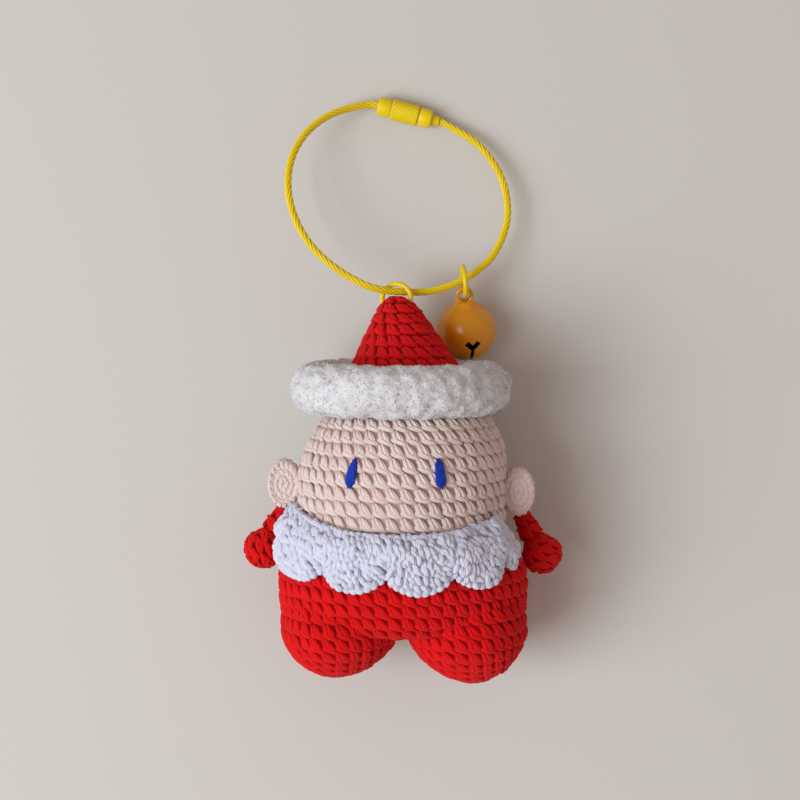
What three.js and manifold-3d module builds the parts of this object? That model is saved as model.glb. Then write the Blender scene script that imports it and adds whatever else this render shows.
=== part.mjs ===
// Crochet santa keychain, lying on its back.
// A stuffed crochet doll holds a jump ring in the tip of its hat. A loop of lacquered wire rope,
// closed by a knurled screw clasp, runs through that ring and carries a jingle bell.
// Millimetres. +Z is up towards the doll's face, +Y towards the key loop, +X to the right.
// The origin lies on the table under the middle of the whole object.

import * as THREE from 'three';
import { mergeVertices } from 'three/addons/utils/BufferGeometryUtils.js';
import Module from 'manifold-3d';

const wasm = await Module();
wasm.setup();

// Clearances
const SEAT_GAP = 0.3;
const RUNNING_GAP = 0.2;
const CRIMP_GAP = 0.12;
const CHANNEL_GAP = 0.45;
const CUT_OVERRUN = 1;

// Crochet fabric
const STITCH_WALL = 2.4;
const HAT_WALL = 2.1;
const FLAT_DEPTH = 0.5;

// Head: a ball above, drawn in a little at the neck
const HEAD_RADIUS = 23.6;
const HEAD_CENTRE_Y = -18.2;
const NECK_Y = -30;
const NECK_RADIUS = 23.2;
const HEAD_LEAN = 2.2;

// Body: swells from the neck to the hips and rounds off at the crotch
const BODY_HALF_WIDTH = 28.1;
const BODY_HALF_DEPTH = 22.4;
const HIP_Y = -41;
const CROTCH_Y = -52.2;
const BODY_ROUND_POWER = 0.32;
const BODY_SHIFT_X = 0.4;
const DOLL_SHIFT_X = 0.3;

// Legs
const LEG_SPACING = 28.4;
const LEG_HALF_DEPTH = 17;
const LEG_ROOT_Y = -43;
const LEG_ROUNDING_Y = -50.5;
const LEG_TAPER_POWER = 0.64;
const LEFT_LEG_HALF_WIDTH = 13.5;
const LEFT_LEG_END_Y = -62.7;
const LEFT_LEG_SPLAY = 0.9;
const RIGHT_LEG_HALF_WIDTH = 13.8;
const RIGHT_LEG_END_Y = -64.1;
const RIGHT_LEG_SPLAY = 1.6;

// Hat: a cone that swells from a rounded tip, droops and leans to the left, and a plush roll round its edge
const HAT_BASE_RADIUS = 16.2;
const HAT_BASE_Y = 0;
const HAT_TIP_Y = 23.3;
const HAT_SWELL_POWER = 0.7;
const HAT_EDGE_Y = -1;
const HAT_SOLID_TIP = 7;
const HAT_DROOP = 10.9;
const HAT_DROOP_POWER = 1.5;
const HAT_BASE_X = 1.2;
const HAT_TIP_X = -1.1;
const BRIM_Y = 2.8;
const BRIM_RADIUS = 19.2;
const BRIM_ROLL_RADIUS = 5.9;

// Ears, eyes and arms, in the doll's own frame
const EAR_HALF_HEIGHT = 5.8;
const EAR_HALF_WIDTH = 4.0;
const EAR_THICKNESS = 5.0;
const EAR_STANDOFF = 2.6;
const EAR_LIFT = 1.2;
const EAR_EDGE_ROUND = 2.0;
const EAR_FACE_SINK = 0.5;
const LEFT_EAR_Y = -18.6;
const RIGHT_EAR_Y = -20.4;
const EYE_HALF_HEIGHT = 3.6;
const EYE_HALF_WIDTH = 1.3;
const EYE_HALF_THICKNESS = 1.2;
const EYE_SPACING = 18.7;
const EYE_SHIFT_X = -1.05;
const EYE_Y = -14.7;
const HAND_RADIUS = 4.0;
const ARM_ROOT_RADIUS = 1.7;
const ARM_SLEEVE_ANGLE = 15;
const ARM_WRIST_ANGLE = -48;
const ARM_SEAT_SLACK = 0.05;
const ARM_W = -4.5;
const ARM_ROOT_Y = -27;
const LEFT_HAND = [-31.5, -34.3];
const RIGHT_HAND = [32.2, -35.5];

// Beard: a scalloped band round the front of the neck
const BEARD_THICKNESS = 3.2;
const BEARD_SEAT = 0.4;
const BEARD_LEFT_SWELL = 1.2;
const BEARD_WIDTH = 10;
const BEARD_SCALLOP = 3.1;
const BEARD_PITCH = 33;
const BEARD_FIRST_CUSP = -73;
const BEARD_LEFT_END = -83;
const BEARD_RIGHT_END = 66;
const BEARD_TOP_Y = -27.2;
const BEARD_LEFT_RISE = 5.6;
const BEARD_RIGHT_RISE = 3.6;
const BEARD_PUFF_LOSS = 0.65;
const BEARD_PUFF_POWER = 3;
const BEARD_LOBE_POWER = 0.7;
const BEARD_END_WIDTH = 0.45;
const BEARD_END_THICKNESS = 0.7;

// Jump rings
const JUMP_RING_DIAMETER = 8;
const JUMP_RING_WIRE = 1.1;
const JUMP_RING_SPLIT = 0.35;
const HAT_RING_TIP_INSET = 0.6;
const HAT_RING_TILT = 17;
const HAT_RING_SWING_DOWN = 2;
const HAT_RING_SWING_UP = 20;
const HAT_RING_SPLIT_ANGLE = 250;

// Key loop: wire rope, with its link to the hat ring and the points of its route from there
const CABLE_DIAMETER = 1.6;
const LINK_RISE = 1.7;
const LINK_SHIFT = 0.05;
const CABLE_LEAD_IN = 0.5;
const CABLE_LEAD_OUT = 0.6;
const CABLE_ROUTE = [
  [-7.3, 45.1, -11.4], [-11.6, 44.0, -10.0], [-16.6, 41.6, -7.7], [-20.8, 37.85, -5.4],
  [-23.75, 33.0, -3.4], [-25.1, 27.6, -2.0], [-24.9, 22.0, -0.9], [-23.45, 16.85, -0.2],
  [-21.0, 12.3, 0.4], [-17.95, 8.6, 0.9], [-14.35, 5.5, 1.4], [-10.55, 3.0, 1.75],
  [-6.9, 1.2, 1.95], [-3.4, 0.25, 1.4], [0, 0, 0], [3.3, -0.05, -1.45],
  [6.5, 0.1, -2.4], [10.8, 1.0, -3.2], [16.0, 3.3, -4.1], [21.4, 7.45, -6.2],
  [24.45, 12.2, -8.0], [26.1, 17.6, -9.1], [26.0, 23.1, -9.9], [24.5, 28.4, -10.8],
  [21.8, 32.9, -11.4], [18.4, 36.5, -11.8], [14.4, 39.1, -12.2],
];

// Screw clasp, along its own axis from the collar to the ferrule
const CLASP_START = [-4.5, 45.05, -11.75];
const CLASP_YAW = -14.2;
const CLASP_PITCH = 2.8;
const COLLAR_RADIUS = 2.2;
const COLLAR_LENGTH = 3.2;
const SOCKET_DEPTH = 2.3;
const STUD_RADIUS = 1.45;
const STUD_LENGTH = 4.2;
const KNURL_RADIUS = 2.5;
const KNURL_LENGTH = 6.4;
const KNURL_DEPTH = 0.2;
const KNURL_RIDGES = 20;
const KNURL_ANGLE = 27;
const GROOVE_LENGTH = 0.35;
const GROOVE_DEPTH = 0.25;
const SKIRT_LENGTH = 3.0;
const LIP_LENGTH = 1.0;
const FLANGE_LENGTH = 0.9;
const FERRULE_RADIUS = 1.2;
const FERRULE_REACH = 1.9;

// Jingle bell
const BELL_RADIUS = 7;
const BELL_WALL = 0.5;
const BELL_HANG = [16.0, 3.3, -4.1];
const BELL_OFFSET_X = 0.35;
const BELL_OFFSET_Y = 11.95;
const BELL_LIFT = 0.05;
const BELL_SWAY = -0.8;
const BELL_RISE = 22;
const BELL_ROLL = 9;
const NECK_FLARE_POLAR = 38;
const NECK_FLARE_POWER = 2.6;
const BELL_NECK_RADIUS = 1.9;
const LUG_REACH = 8.75;
const LUG_RADIUS = 2.05;
const LUG_THICKNESS = 1.2;
const LUG_HOLE_RADIUS = 1.25;
const LUG_SHOULDER = 0.4;
const SLOT_WIDTH = 0.8;
const SLOT_POLAR = 71;
const FORK_LENGTH = 2.1;
const FORK_ANGLE = 45;
const FORK_WIDTH = 1.25;
const PELLET_RADIUS = 2.2;
const BELL_RING_SPLIT_ANGLE = 285;
const BELL_RING_ROLL = 7;

// Facets
const FORM_SIDES = 32;
const LINER_SIDES = 18;
const ROUND_SIDES = 24;
const BORE_SIDES = 16;
const WIRE_SIDES = 8;
const WIRE_STEPS = 28;
const CABLE_STEPS = 76;

const degrees = THREE.MathUtils.degToRad;
const vector = (x, y, z) => new THREE.Vector3(x, y, z);
const blend = THREE.MathUtils.lerp;

// Worked-out sizes
const WIRE_RADIUS = JUMP_RING_WIRE / 2;
const RING_RADIUS = JUMP_RING_DIAMETER / 2 - WIRE_RADIUS;
const CABLE_RADIUS = CABLE_DIAMETER / 2;
const SOCKET_RADIUS = CABLE_RADIUS + CRIMP_GAP;
const BORE_RADIUS = STUD_RADIUS + RUNNING_GAP;
const LIP_RADIUS = FERRULE_RADIUS + RUNNING_GAP;
const NUT_START = COLLAR_LENGTH + RUNNING_GAP;
const GROOVE_START = NUT_START + KNURL_LENGTH;
const SKIRT_START = GROOVE_START + GROOVE_LENGTH;
const NUT_END = SKIRT_START + SKIRT_LENGTH;
const LIP_START = NUT_END - LIP_LENGTH;
const FLANGE_END = LIP_START - RUNNING_GAP;
const FERRULE_END = NUT_END + FERRULE_REACH;

// The doll lies on its brim and its back, both flattened by the same depth
const BRIM_HEIGHT = BRIM_RADIUS + BRIM_ROLL_RADIUS - FLAT_DEPTH;
const BACK_HEIGHT = BODY_HALF_DEPTH - FLAT_DEPTH;
const DOLL_TILT = Math.atan((BRIM_HEIGHT - BACK_HEIGHT) / (BRIM_Y - HIP_Y));
const DOLL_HEIGHT = BRIM_HEIGHT - BRIM_Y * Math.tan(DOLL_TILT);

const yarn = (color) => new THREE.MeshStandardMaterial({ color, roughness: 0.95, metalness: 0 });
const lacquer = (color) => new THREE.MeshStandardMaterial({ color, roughness: 0.3, metalness: 0.35 });
const redYarn = yarn(0xc8101a);
const pinkYarn = yarn(0xecd0c6);
const plushYarn = yarn(0xe6e4e6);
const beardYarn = yarn(0xdcdce8);
const eyeYarn = yarn(0x1c3ca4);
const fibreFill = yarn(0xf2f0ea);
const yellowLacquer = lacquer(0xdcb414);
const amberLacquer = lacquer(0xc07a10);
const pelletSteel = new THREE.MeshStandardMaterial({ color: 0xb0b4b8, roughness: 0.35, metalness: 0.9 });

// Solids

function solidOf(geometry) {
  const bare = geometry.clone();
  for (const name of Object.keys(bare.attributes)) {
    if (name !== 'position') bare.deleteAttribute(name);
  }
  const merged = mergeVertices(bare, 1e-4);
  return new wasm.Manifold(new wasm.Mesh({
    numProp: 3,
    vertProperties: new Float32Array(merged.attributes.position.array),
    triVerts: new Uint32Array(merged.index.array),
  }));
}

function geometryOf(solid) {
  const mesh = solid.getMesh();
  const geometry = new THREE.BufferGeometry();
  geometry.setAttribute('position', new THREE.BufferAttribute(new Float32Array(mesh.vertProperties), 3));
  geometry.setIndex(new THREE.BufferAttribute(new Uint32Array(mesh.triVerts), 1));
  const faceted = geometry.toNonIndexed();
  faceted.computeVertexNormals();
  return faceted;
}

// A tidy solid: slivers left by a cut near its own facets are dropped, the largest piece is kept
function mainPiece(solid) {
  const pieces = solid.decompose();
  pieces.sort((one, other) => other.volume() - one.volume());
  return pieces[0];
}

function pieceMesh(name, shape, material) {
  const geometry = shape instanceof THREE.BufferGeometry ? shape : geometryOf(mainPiece(shape));
  const mesh = new THREE.Mesh(geometry, material);
  mesh.name = name;
  return mesh;
}

// A closed skin over elliptical stations that follow one another up the y axis
function loft(stations, sides) {
  const positions = [];
  const index = [];
  for (const station of stations) {
    for (let side = 0; side < sides; side += 1) {
      const angle = (side / sides) * 2 * Math.PI;
      const x = station.x + station.halfWidth * Math.cos(angle);
      const z = station.w + station.halfDepth * Math.sin(angle);
      positions.push(x, station.y, z);
    }
  }
  const lowCentre = positions.length / 3;
  const last = stations.length - 1;
  positions.push(stations[0].x, stations[0].poleY ?? stations[0].y, stations[0].w);
  positions.push(stations[last].x, stations[last].poleY ?? stations[last].y, stations[last].w);
  for (let side = 0; side < sides; side += 1) {
    const next = (side + 1) % sides;
    for (let row = 0; row < last; row += 1) {
      const low = row * sides;
      const high = low + sides;
      index.push(low + side, high + side, low + next);
      index.push(low + next, high + side, high + next);
    }
    index.push(lowCentre, side, next);
    index.push(lowCentre + 1, last * sides + next, last * sides + side);
  }
  const geometry = new THREE.BufferGeometry();
  geometry.setAttribute('position', new THREE.Float32BufferAttribute(positions, 3));
  geometry.setIndex(index);
  return geometry;
}

// Turns a profile about the y axis: points are [radius, y] pairs that start and end on the axis
function turned(points, sides = ROUND_SIDES) {
  return new THREE.LatheGeometry(points.map(([radius, y]) => new THREE.Vector2(radius, y)), sides);
}

// A plain cylinder along x, from one station to another
function rodAlongX(radius, start, end, sides = ROUND_SIDES) {
  const geometry = new THREE.CylinderGeometry(radius, radius, end - start, sides);
  geometry.rotateZ(-Math.PI / 2);
  geometry.translate((start + end) / 2, 0, 0);
  return geometry;
}

function box(low, high) {
  const geometry = new THREE.BoxGeometry(high[0] - low[0], high[1] - low[1], high[2] - low[2]);
  geometry.translate((low[0] + high[0]) / 2, (low[1] + high[1]) / 2, (low[2] + high[2]) / 2);
  return geometry;
}

class ArcCurve extends THREE.Curve {
  constructor(radius, start, sweep) {
    super();
    this.radius = radius;
    this.start = start;
    this.sweep = sweep;
  }

  getPoint(share, target = new THREE.Vector3()) {
    const angle = this.start + this.sweep * share;
    return target.set(this.radius * Math.cos(angle), this.radius * Math.sin(angle), 0);
  }
}

function tube(path, radius, steps, sides) {
  const section = new THREE.Shape();
  for (let side = 0; side < sides; side += 1) {
    const angle = (side / sides) * 2 * Math.PI;
    const move = side === 0 ? 'moveTo' : 'lineTo';
    section[move](radius * Math.cos(angle), radius * Math.sin(angle));
  }
  section.closePath();
  return new THREE.ExtrudeGeometry(section, { steps, extrudePath: path });
}

// A jump ring in its own x-y plane, split at the given angle
function jumpRing(splitAngle) {
  const split = JUMP_RING_SPLIT / RING_RADIUS;
  const path = new ArcCurve(RING_RADIUS, degrees(splitAngle) + split / 2, 2 * Math.PI - split);
  return tube(path, WIRE_RADIUS, WIRE_STEPS, WIRE_SIDES);
}

// The doll's skin: half width and half depth of the fabric's outer face at a height y

function headRadiusAt(y) {
  if (y >= HEAD_CENTRE_Y) {
    const rise = Math.min((y - HEAD_CENTRE_Y) / HEAD_RADIUS, 1);
    return HEAD_RADIUS * Math.sqrt(1 - rise * rise);
  }
  const drop = Math.min((HEAD_CENTRE_Y - y) / (HEAD_CENTRE_Y - NECK_Y), 1);
  return blend(HEAD_RADIUS, NECK_RADIUS, drop * drop);
}

function bodyHalfAt(y, widest, offset) {
  if (y >= HIP_Y) {
    const rise = Math.min((y - HIP_Y) / (NECK_Y - HIP_Y), 1);
    return blend(widest, NECK_RADIUS, rise * rise) + offset;
  }
  const drop = Math.min((HIP_Y - y) / (HIP_Y - CROTCH_Y), 1);
  return (widest + offset) * Math.pow(1 - drop * drop, BODY_ROUND_POWER);
}

function skinAt(y) {
  if (y >= NECK_Y) return { halfWidth: headRadiusAt(y), halfDepth: headRadiusAt(y), x: 0 };
  const share = Math.min((NECK_Y - y) / (NECK_Y - HIP_Y), 1);
  return {
    halfWidth: bodyHalfAt(y, BODY_HALF_WIDTH, 0),
    halfDepth: bodyHalfAt(y, BODY_HALF_DEPTH, 0),
    x: BODY_SHIFT_X * share,
  };
}

// Stations of the doll's forms, each moved out from the skin by an offset

function headStations(offset) {
  const rows = 9;
  const radius = HEAD_RADIUS + offset;
  const below = [HIP_Y, NECK_Y, (NECK_Y + HEAD_CENTRE_Y) / 2].map((y) => {
    const half = headRadiusAt(y) + offset;
    return { y, halfWidth: half, halfDepth: half, x: 0, w: 0 };
  });
  const above = Array.from({ length: rows }, (_, row) => {
    const polar = (row / rows) * (Math.PI / 2);
    const half = radius * Math.cos(polar);
    const x = HEAD_LEAN * Math.sin(polar);
    return { y: HEAD_CENTRE_Y + radius * Math.sin(polar), halfWidth: half, halfDepth: half, x, w: 0 };
  });
  above[rows - 1].poleY = HEAD_CENTRE_Y + radius;
  return [...below, ...above];
}

function bodyStations(offset) {
  const rows = 7;
  const rounded = Array.from({ length: rows }, (_, row) => {
    const share = Math.sin(((rows - row) / (rows + 0.5)) * (Math.PI / 2));
    const y = HIP_Y - share * (HIP_Y - CROTCH_Y);
    return {
      y: y - offset * share,
      halfWidth: bodyHalfAt(y, BODY_HALF_WIDTH, offset),
      halfDepth: bodyHalfAt(y, BODY_HALF_DEPTH, offset),
      x: BODY_SHIFT_X,
      w: 0,
    };
  });
  rounded[0].poleY = CROTCH_Y - offset;
  const shoulders = 5;
  const upper = Array.from({ length: shoulders + 1 }, (_, row) => {
    const y = blend(HIP_Y, NECK_Y, row / shoulders);
    const skin = skinAt(y);
    return { y, halfWidth: skin.halfWidth + offset, halfDepth: skin.halfDepth + offset, x: skin.x, w: 0 };
  });
  const half = NECK_RADIUS + offset;
  return [...rounded, ...upper, { y: HEAD_CENTRE_Y, halfWidth: half, halfDepth: half, x: 0, w: 0 }];
}

function legStations(leg, offset) {
  const rows = 7;
  const domed = Array.from({ length: rows }, (_, row) => {
    const share = Math.sin(((rows - row) / (rows + 0.5)) * (Math.PI / 2));
    const swell = Math.pow(1 - share * share, LEG_TAPER_POWER);
    return {
      y: LEG_ROUNDING_Y - share * (LEG_ROUNDING_Y - leg.endY) - offset * share,
      halfWidth: (leg.halfWidth + offset) * swell,
      halfDepth: (LEG_HALF_DEPTH + offset) * swell,
      x: leg.x + leg.splay * share * share,
      w: 0,
    };
  });
  domed[0].poleY = leg.endY - offset;
  const straight = [LEG_ROUNDING_Y, LEG_ROOT_Y].map((y) => ({
    y, halfWidth: leg.halfWidth + offset, halfDepth: LEG_HALF_DEPTH + offset, x: leg.x, w: 0,
  }));
  straight[1].y += offset;
  return [...domed, ...straight];
}

// The hat's centre line and its half width, by the share of the way from its base to its tip

function hatCentre(share) {
  return {
    x: blend(HAT_BASE_X, HAT_TIP_X, share),
    y: blend(HAT_BASE_Y, HAT_TIP_Y, share),
    w: -HAT_DROOP * Math.pow(Math.max(share, 0), HAT_DROOP_POWER),
  };
}

function hatHalfAt(y) {
  const share = (HAT_TIP_Y - y) / (HAT_TIP_Y - HAT_BASE_Y);
  return HAT_BASE_RADIUS * Math.pow(share, HAT_SWELL_POWER);
}

// Rows crowd together towards the tip, where the hat's face turns fastest
function hatStations(offset) {
  const rows = 13;
  const rise = HAT_TIP_Y - HAT_BASE_Y;
  const edge = HAT_EDGE_Y - Math.abs(offset);
  const stations = Array.from({ length: rows }, (_, row) => {
    const left = 1 - row / rows;
    const y = HAT_TIP_Y - (HAT_TIP_Y - edge) * left * left;
    const centre = hatCentre((y - HAT_BASE_Y) / rise);
    const half = hatHalfAt(y) + offset * Math.sqrt(left);
    return { y: y + offset * (1 - left), halfWidth: half, halfDepth: half, x: centre.x, w: centre.w };
  });
  stations[rows - 1].poleY = HAT_TIP_Y + offset;
  return stations;
}

const LEFT_LEG = {
  name: 'left_leg', x: BODY_SHIFT_X - LEG_SPACING / 2, halfWidth: LEFT_LEG_HALF_WIDTH,
  endY: LEFT_LEG_END_Y, splay: -LEFT_LEG_SPLAY,
};
const RIGHT_LEG = {
  name: 'right_leg', x: BODY_SHIFT_X + LEG_SPACING / 2, halfWidth: RIGHT_LEG_HALF_WIDTH,
  endY: RIGHT_LEG_END_Y, splay: RIGHT_LEG_SPLAY,
};

// The doll's group carries its tilt; dollToTable is its matrix and tableToDoll the way back

const doll = new THREE.Group();
doll.position.set(DOLL_SHIFT_X, 0, DOLL_HEIGHT);
doll.rotation.x = DOLL_TILT;
doll.updateMatrix();
const dollToTable = doll.matrix.clone();
const tableToDoll = dollToTable.clone().invert();

const REACH = 100;
const underTable = box([-REACH, -REACH, -REACH], [REACH, REACH, 0]);
underTable.applyMatrix4(tableToDoll);
const underTableSolid = solidOf(underTable);
const lyingFlat = (solid) => solid.subtract(underTableSolid);

const aboveNeck = solidOf(box([-REACH, NECK_Y + SEAT_GAP / 2, -REACH], [REACH, REACH, REACH]));
const belowNeck = solidOf(box([-REACH, -REACH, -REACH], [REACH, NECK_Y - SEAT_GAP / 2, REACH]));

const LINER = -STITCH_WALL;
const FILL = -STITCH_WALL - SEAT_GAP;

const headOuter = solidOf(loft(headStations(0), FORM_SIDES));
const headSeat = solidOf(loft(headStations(SEAT_GAP), FORM_SIDES));
const headLiner = solidOf(loft(headStations(LINER), LINER_SIDES));
const bodyOuter = solidOf(loft(bodyStations(0), FORM_SIDES));
const bodySeat = solidOf(loft(bodyStations(SEAT_GAP), FORM_SIDES));
const bodyLiner = solidOf(loft(bodyStations(LINER), LINER_SIDES));
const hatOuter = solidOf(loft(hatStations(0), FORM_SIDES));
const hatSeat = solidOf(loft(hatStations(SEAT_GAP), FORM_SIDES));

function legLiner(leg, offset) {
  return solidOf(loft(legStations(leg, offset), LINER_SIDES));
}

function makeHead() {
  const shell = headOuter.subtract(headLiner).intersect(aboveNeck);
  return pieceMesh('head', lyingFlat(shell), pinkYarn);
}

function makeBody() {
  const hollow = bodyLiner.add(legLiner(LEFT_LEG, LINER)).add(legLiner(RIGHT_LEG, LINER));
  const shell = bodyOuter.subtract(hollow).intersect(belowNeck);
  return pieceMesh('body', lyingFlat(shell), redYarn);
}

function makeLeg(leg) {
  const outer = solidOf(loft(legStations(leg, 0), FORM_SIDES));
  const shell = outer.subtract(bodySeat).subtract(legLiner(leg, LINER));
  return pieceMesh(leg.name, lyingFlat(shell), redYarn);
}

// One fill of fibre, through the head, the open neck, the body and the legs
function makeStuffing() {
  const headFill = solidOf(loft(headStations(FILL), LINER_SIDES)).intersect(aboveNeck);
  const bodyFill = solidOf(loft(bodyStations(FILL), LINER_SIDES));
  const legFills = legLiner(LEFT_LEG, FILL).add(legLiner(RIGHT_LEG, FILL));
  return pieceMesh('stuffing', headFill.add(bodyFill).add(legFills), fibreFill);
}

// The hat ring, its hinge in the fabric and the channel that it swings in

const tipCentre = hatCentre(1);
const hatRingCentre = vector(tipCentre.x, HAT_TIP_Y - HAT_RING_TIP_INSET, tipCentre.w).applyMatrix4(dollToTable);
const hatRingTurn = new THREE.Matrix4().makeRotationY(-degrees(HAT_RING_TILT));
const hatRingMatrix = hatRingTurn.clone().setPosition(hatRingCentre);
const hatRingHinge = vector(0, -RING_RADIUS, 0).applyMatrix4(hatRingMatrix);
const hatRingAxis = vector(1, 0, 0).transformDirection(hatRingMatrix);

function ringChannel() {
  const around = [0, 0.5, 1].map((share) => {
    const channel = new THREE.TorusGeometry(RING_RADIUS, WIRE_RADIUS + CHANNEL_GAP, 6, 16);
    channel.translate(0, RING_RADIUS, 0);
    channel.rotateX(degrees(blend(-HAT_RING_SWING_DOWN, HAT_RING_SWING_UP, share)));
    channel.translate(0, -RING_RADIUS, 0);
    channel.applyMatrix4(hatRingMatrix);
    channel.applyMatrix4(tableToDoll);
    return solidOf(channel);
  });
  return around.reduce((one, other) => one.add(other));
}

function makeHatCone() {
  const hollowTop = HAT_TIP_Y - HAT_SOLID_TIP;
  const room = solidOf(box([-REACH, -REACH, -REACH], [REACH, hollowTop, REACH]));
  const liner = solidOf(loft(hatStations(-HAT_WALL), LINER_SIDES)).intersect(room);
  const shell = hatOuter.subtract(liner).subtract(headSeat).subtract(ringChannel());
  return pieceMesh('hat_cone', lyingFlat(shell), redYarn);
}

function makeHatStuffing() {
  const fillTop = HAT_TIP_Y - HAT_SOLID_TIP - SEAT_GAP;
  const room = solidOf(box([-REACH, -REACH, -REACH], [REACH, fillTop, REACH]));
  const fill = solidOf(loft(hatStations(-HAT_WALL - SEAT_GAP), LINER_SIDES)).intersect(room);
  return pieceMesh('hat_stuffing', fill.subtract(headSeat), fibreFill);
}

function makeBrim() {
  const roll = new THREE.TorusGeometry(BRIM_RADIUS, BRIM_ROLL_RADIUS, 10, 32);
  roll.rotateX(Math.PI / 2);
  roll.translate(0, BRIM_Y, 0);
  const seated = solidOf(roll).subtract(headSeat).subtract(hatSeat);
  return pieceMesh('hat_brim', lyingFlat(seated), plushYarn);
}

// A thick round-edged disc, its flat faces towards the front and the back, sewn to the head's side
function makeEar(name, side, y) {
  const half = EAR_THICKNESS / 2;
  const steps = 6;
  const profile = [[0, -half]];
  for (let step = 0; step <= steps; step += 1) {
    const angle = blend(-Math.PI / 2, Math.PI / 2, step / steps);
    const radius = EAR_HALF_HEIGHT - EAR_EDGE_ROUND * (1 - Math.cos(angle));
    profile.push([radius, (half - EAR_FACE_SINK) * Math.sin(angle)]);
  }
  profile.push([0, half]);
  const disc = turned(profile);
  disc.rotateX(Math.PI / 2);
  disc.scale(EAR_HALF_WIDTH / EAR_HALF_HEIGHT, 1, 1);
  disc.translate(side * (headRadiusAt(y) + EAR_STANDOFF), y, EAR_LIFT);
  return pieceMesh(name, solidOf(disc).subtract(headSeat), pinkYarn);
}

// An embroidered spindle on the front of the head
function makeEye(name, side) {
  const x = EYE_SHIFT_X + side * EYE_SPACING / 2;
  const radius = headRadiusAt(EYE_Y);
  const turn = Math.asin(x / radius);
  const spindle = new THREE.SphereGeometry(1, 12, 10);
  spindle.scale(EYE_HALF_WIDTH, EYE_HALF_HEIGHT, EYE_HALF_THICKNESS);
  spindle.translate(0, 0, radius);
  spindle.rotateY(turn);
  spindle.translate(0, EYE_Y, 0);
  return pieceMesh(name, solidOf(spindle).subtract(headSeat), eyeYarn);
}

// The beard follows the skin round the front, with a puffed section and a scalloped lower edge

function beardTopAt(angle) {
  const rise = angle < 0 ? BEARD_LEFT_RISE : BEARD_RIGHT_RISE;
  const end = angle < 0 ? BEARD_LEFT_END : BEARD_RIGHT_END;
  return BEARD_TOP_Y + rise * Math.pow(angle / end, 2);
}

function beardWidthAt(angle) {
  const scallop = Math.abs(Math.sin((Math.PI * (angle - BEARD_FIRST_CUSP)) / BEARD_PITCH));
  return BEARD_WIDTH + BEARD_SCALLOP * Math.pow(scallop, BEARD_LOBE_POWER);
}

function makeBeard() {
  const steps = 40;
  const across = 5;
  const underneath = 5;
  const ring = across + underneath + 2;
  const positions = [];
  const index = [];
  for (let step = 0; step <= steps; step += 1) {
    const angle = blend(BEARD_LEFT_END, BEARD_RIGHT_END, step / steps);
    const endShare = Math.min(1, Math.min(step, steps - step) / 2 + BEARD_END_WIDTH);
    const top = beardTopAt(angle);
    const width = beardWidthAt(angle);
    const middle = top - width / 2;
    const thickness = BEARD_THICKNESS + BEARD_LEFT_SWELL * Math.pow(Math.max(angle / BEARD_LEFT_END, 0), 2);
    const point = (share, offset) => {
      const y = middle + (0.5 - share) * width * endShare;
      const skin = skinAt(y);
      const turn = degrees(angle);
      positions.push(
        skin.x + (skin.halfWidth + offset) * Math.sin(turn), y, (skin.halfDepth + offset) * Math.cos(turn),
      );
    };
    for (let row = 0; row <= across; row += 1) {
      const share = row / across;
      const puff = 1 - Math.pow(Math.abs(2 * share - 1), BEARD_PUFF_POWER) * BEARD_PUFF_LOSS;
      point(share, BEARD_SEAT + thickness * puff * blend(BEARD_END_THICKNESS, 1, endShare));
    }
    for (let row = 0; row <= underneath; row += 1) point(1 - row / underneath, BEARD_SEAT);
  }
  for (let step = 0; step < steps; step += 1) {
    for (let row = 0; row < ring; row += 1) {
      const next = (row + 1) % ring;
      const here = step * ring;
      const there = here + ring;
      index.push(here + row, here + next, there + row);
      index.push(here + next, there + next, there + row);
    }
  }
  const lastRing = steps * ring;
  for (let row = 1; row < ring - 1; row += 1) {
    index.push(0, row + 1, row);
    index.push(lastRing, lastRing + row, lastRing + row + 1);
  }
  const band = new THREE.BufferGeometry();
  band.setAttribute('position', new THREE.Float32BufferAttribute(positions, 3));
  band.setIndex(index);
  return pieceMesh('beard', solidOf(band), beardYarn);
}

// An arm: a small ball at the seam where it is sewn on, swelling to a round hand
function makeArm(name, side, [handX, handY]) {
  const root = armRoot(side);
  const length = Math.hypot(handX - root.x, handY - root.y);
  const profile = [];
  for (let step = 0; step <= 4; step += 1) {
    const angle = blend(-Math.PI / 2, degrees(ARM_SLEEVE_ANGLE), step / 4);
    profile.push([ARM_ROOT_RADIUS * Math.cos(angle), ARM_ROOT_RADIUS * Math.sin(angle)]);
  }
  for (let step = 0; step <= 6; step += 1) {
    const angle = blend(degrees(ARM_WRIST_ANGLE), Math.PI / 2, step / 6);
    profile.push([HAND_RADIUS * Math.cos(angle), length + HAND_RADIUS * Math.sin(angle)]);
  }
  profile[0][0] = 0;
  profile[profile.length - 1][0] = 0;
  const limb = turned(profile, 20);
  limb.rotateZ(Math.atan2(handY - root.y, handX - root.x) - Math.PI / 2);
  limb.translate(root.x, root.y, root.z);
  return pieceMesh(name, solidOf(limb).subtract(bodySeat).subtract(headSeat), redYarn);
}

// The seam of an arm: as far off the skin as its ball and the gap need
function armRoot(side) {
  const skin = skinAt(ARM_ROOT_Y);
  const turn = Math.asin(ARM_W / skin.halfDepth);
  const reach = ARM_ROOT_RADIUS + SEAT_GAP + ARM_SEAT_SLACK;
  const x = side * (skin.halfWidth + reach) * Math.cos(turn) + skin.x;
  return vector(x, ARM_ROOT_Y, (skin.halfDepth + reach) * Math.sin(turn));
}

// The key loop: the link, the clasp's place and the cable's path

const link = vector(LINK_SHIFT, LINK_RISE, 0).applyMatrix4(hatRingMatrix);
const clasp = new THREE.Group();
clasp.position.copy(link).add(vector(...CLASP_START));
clasp.rotation.set(0, degrees(CLASP_PITCH), degrees(CLASP_YAW), 'ZYX');
clasp.updateMatrix();
const onClasp = (x) => vector(x, 0, 0).applyMatrix4(clasp.matrix);

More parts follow.
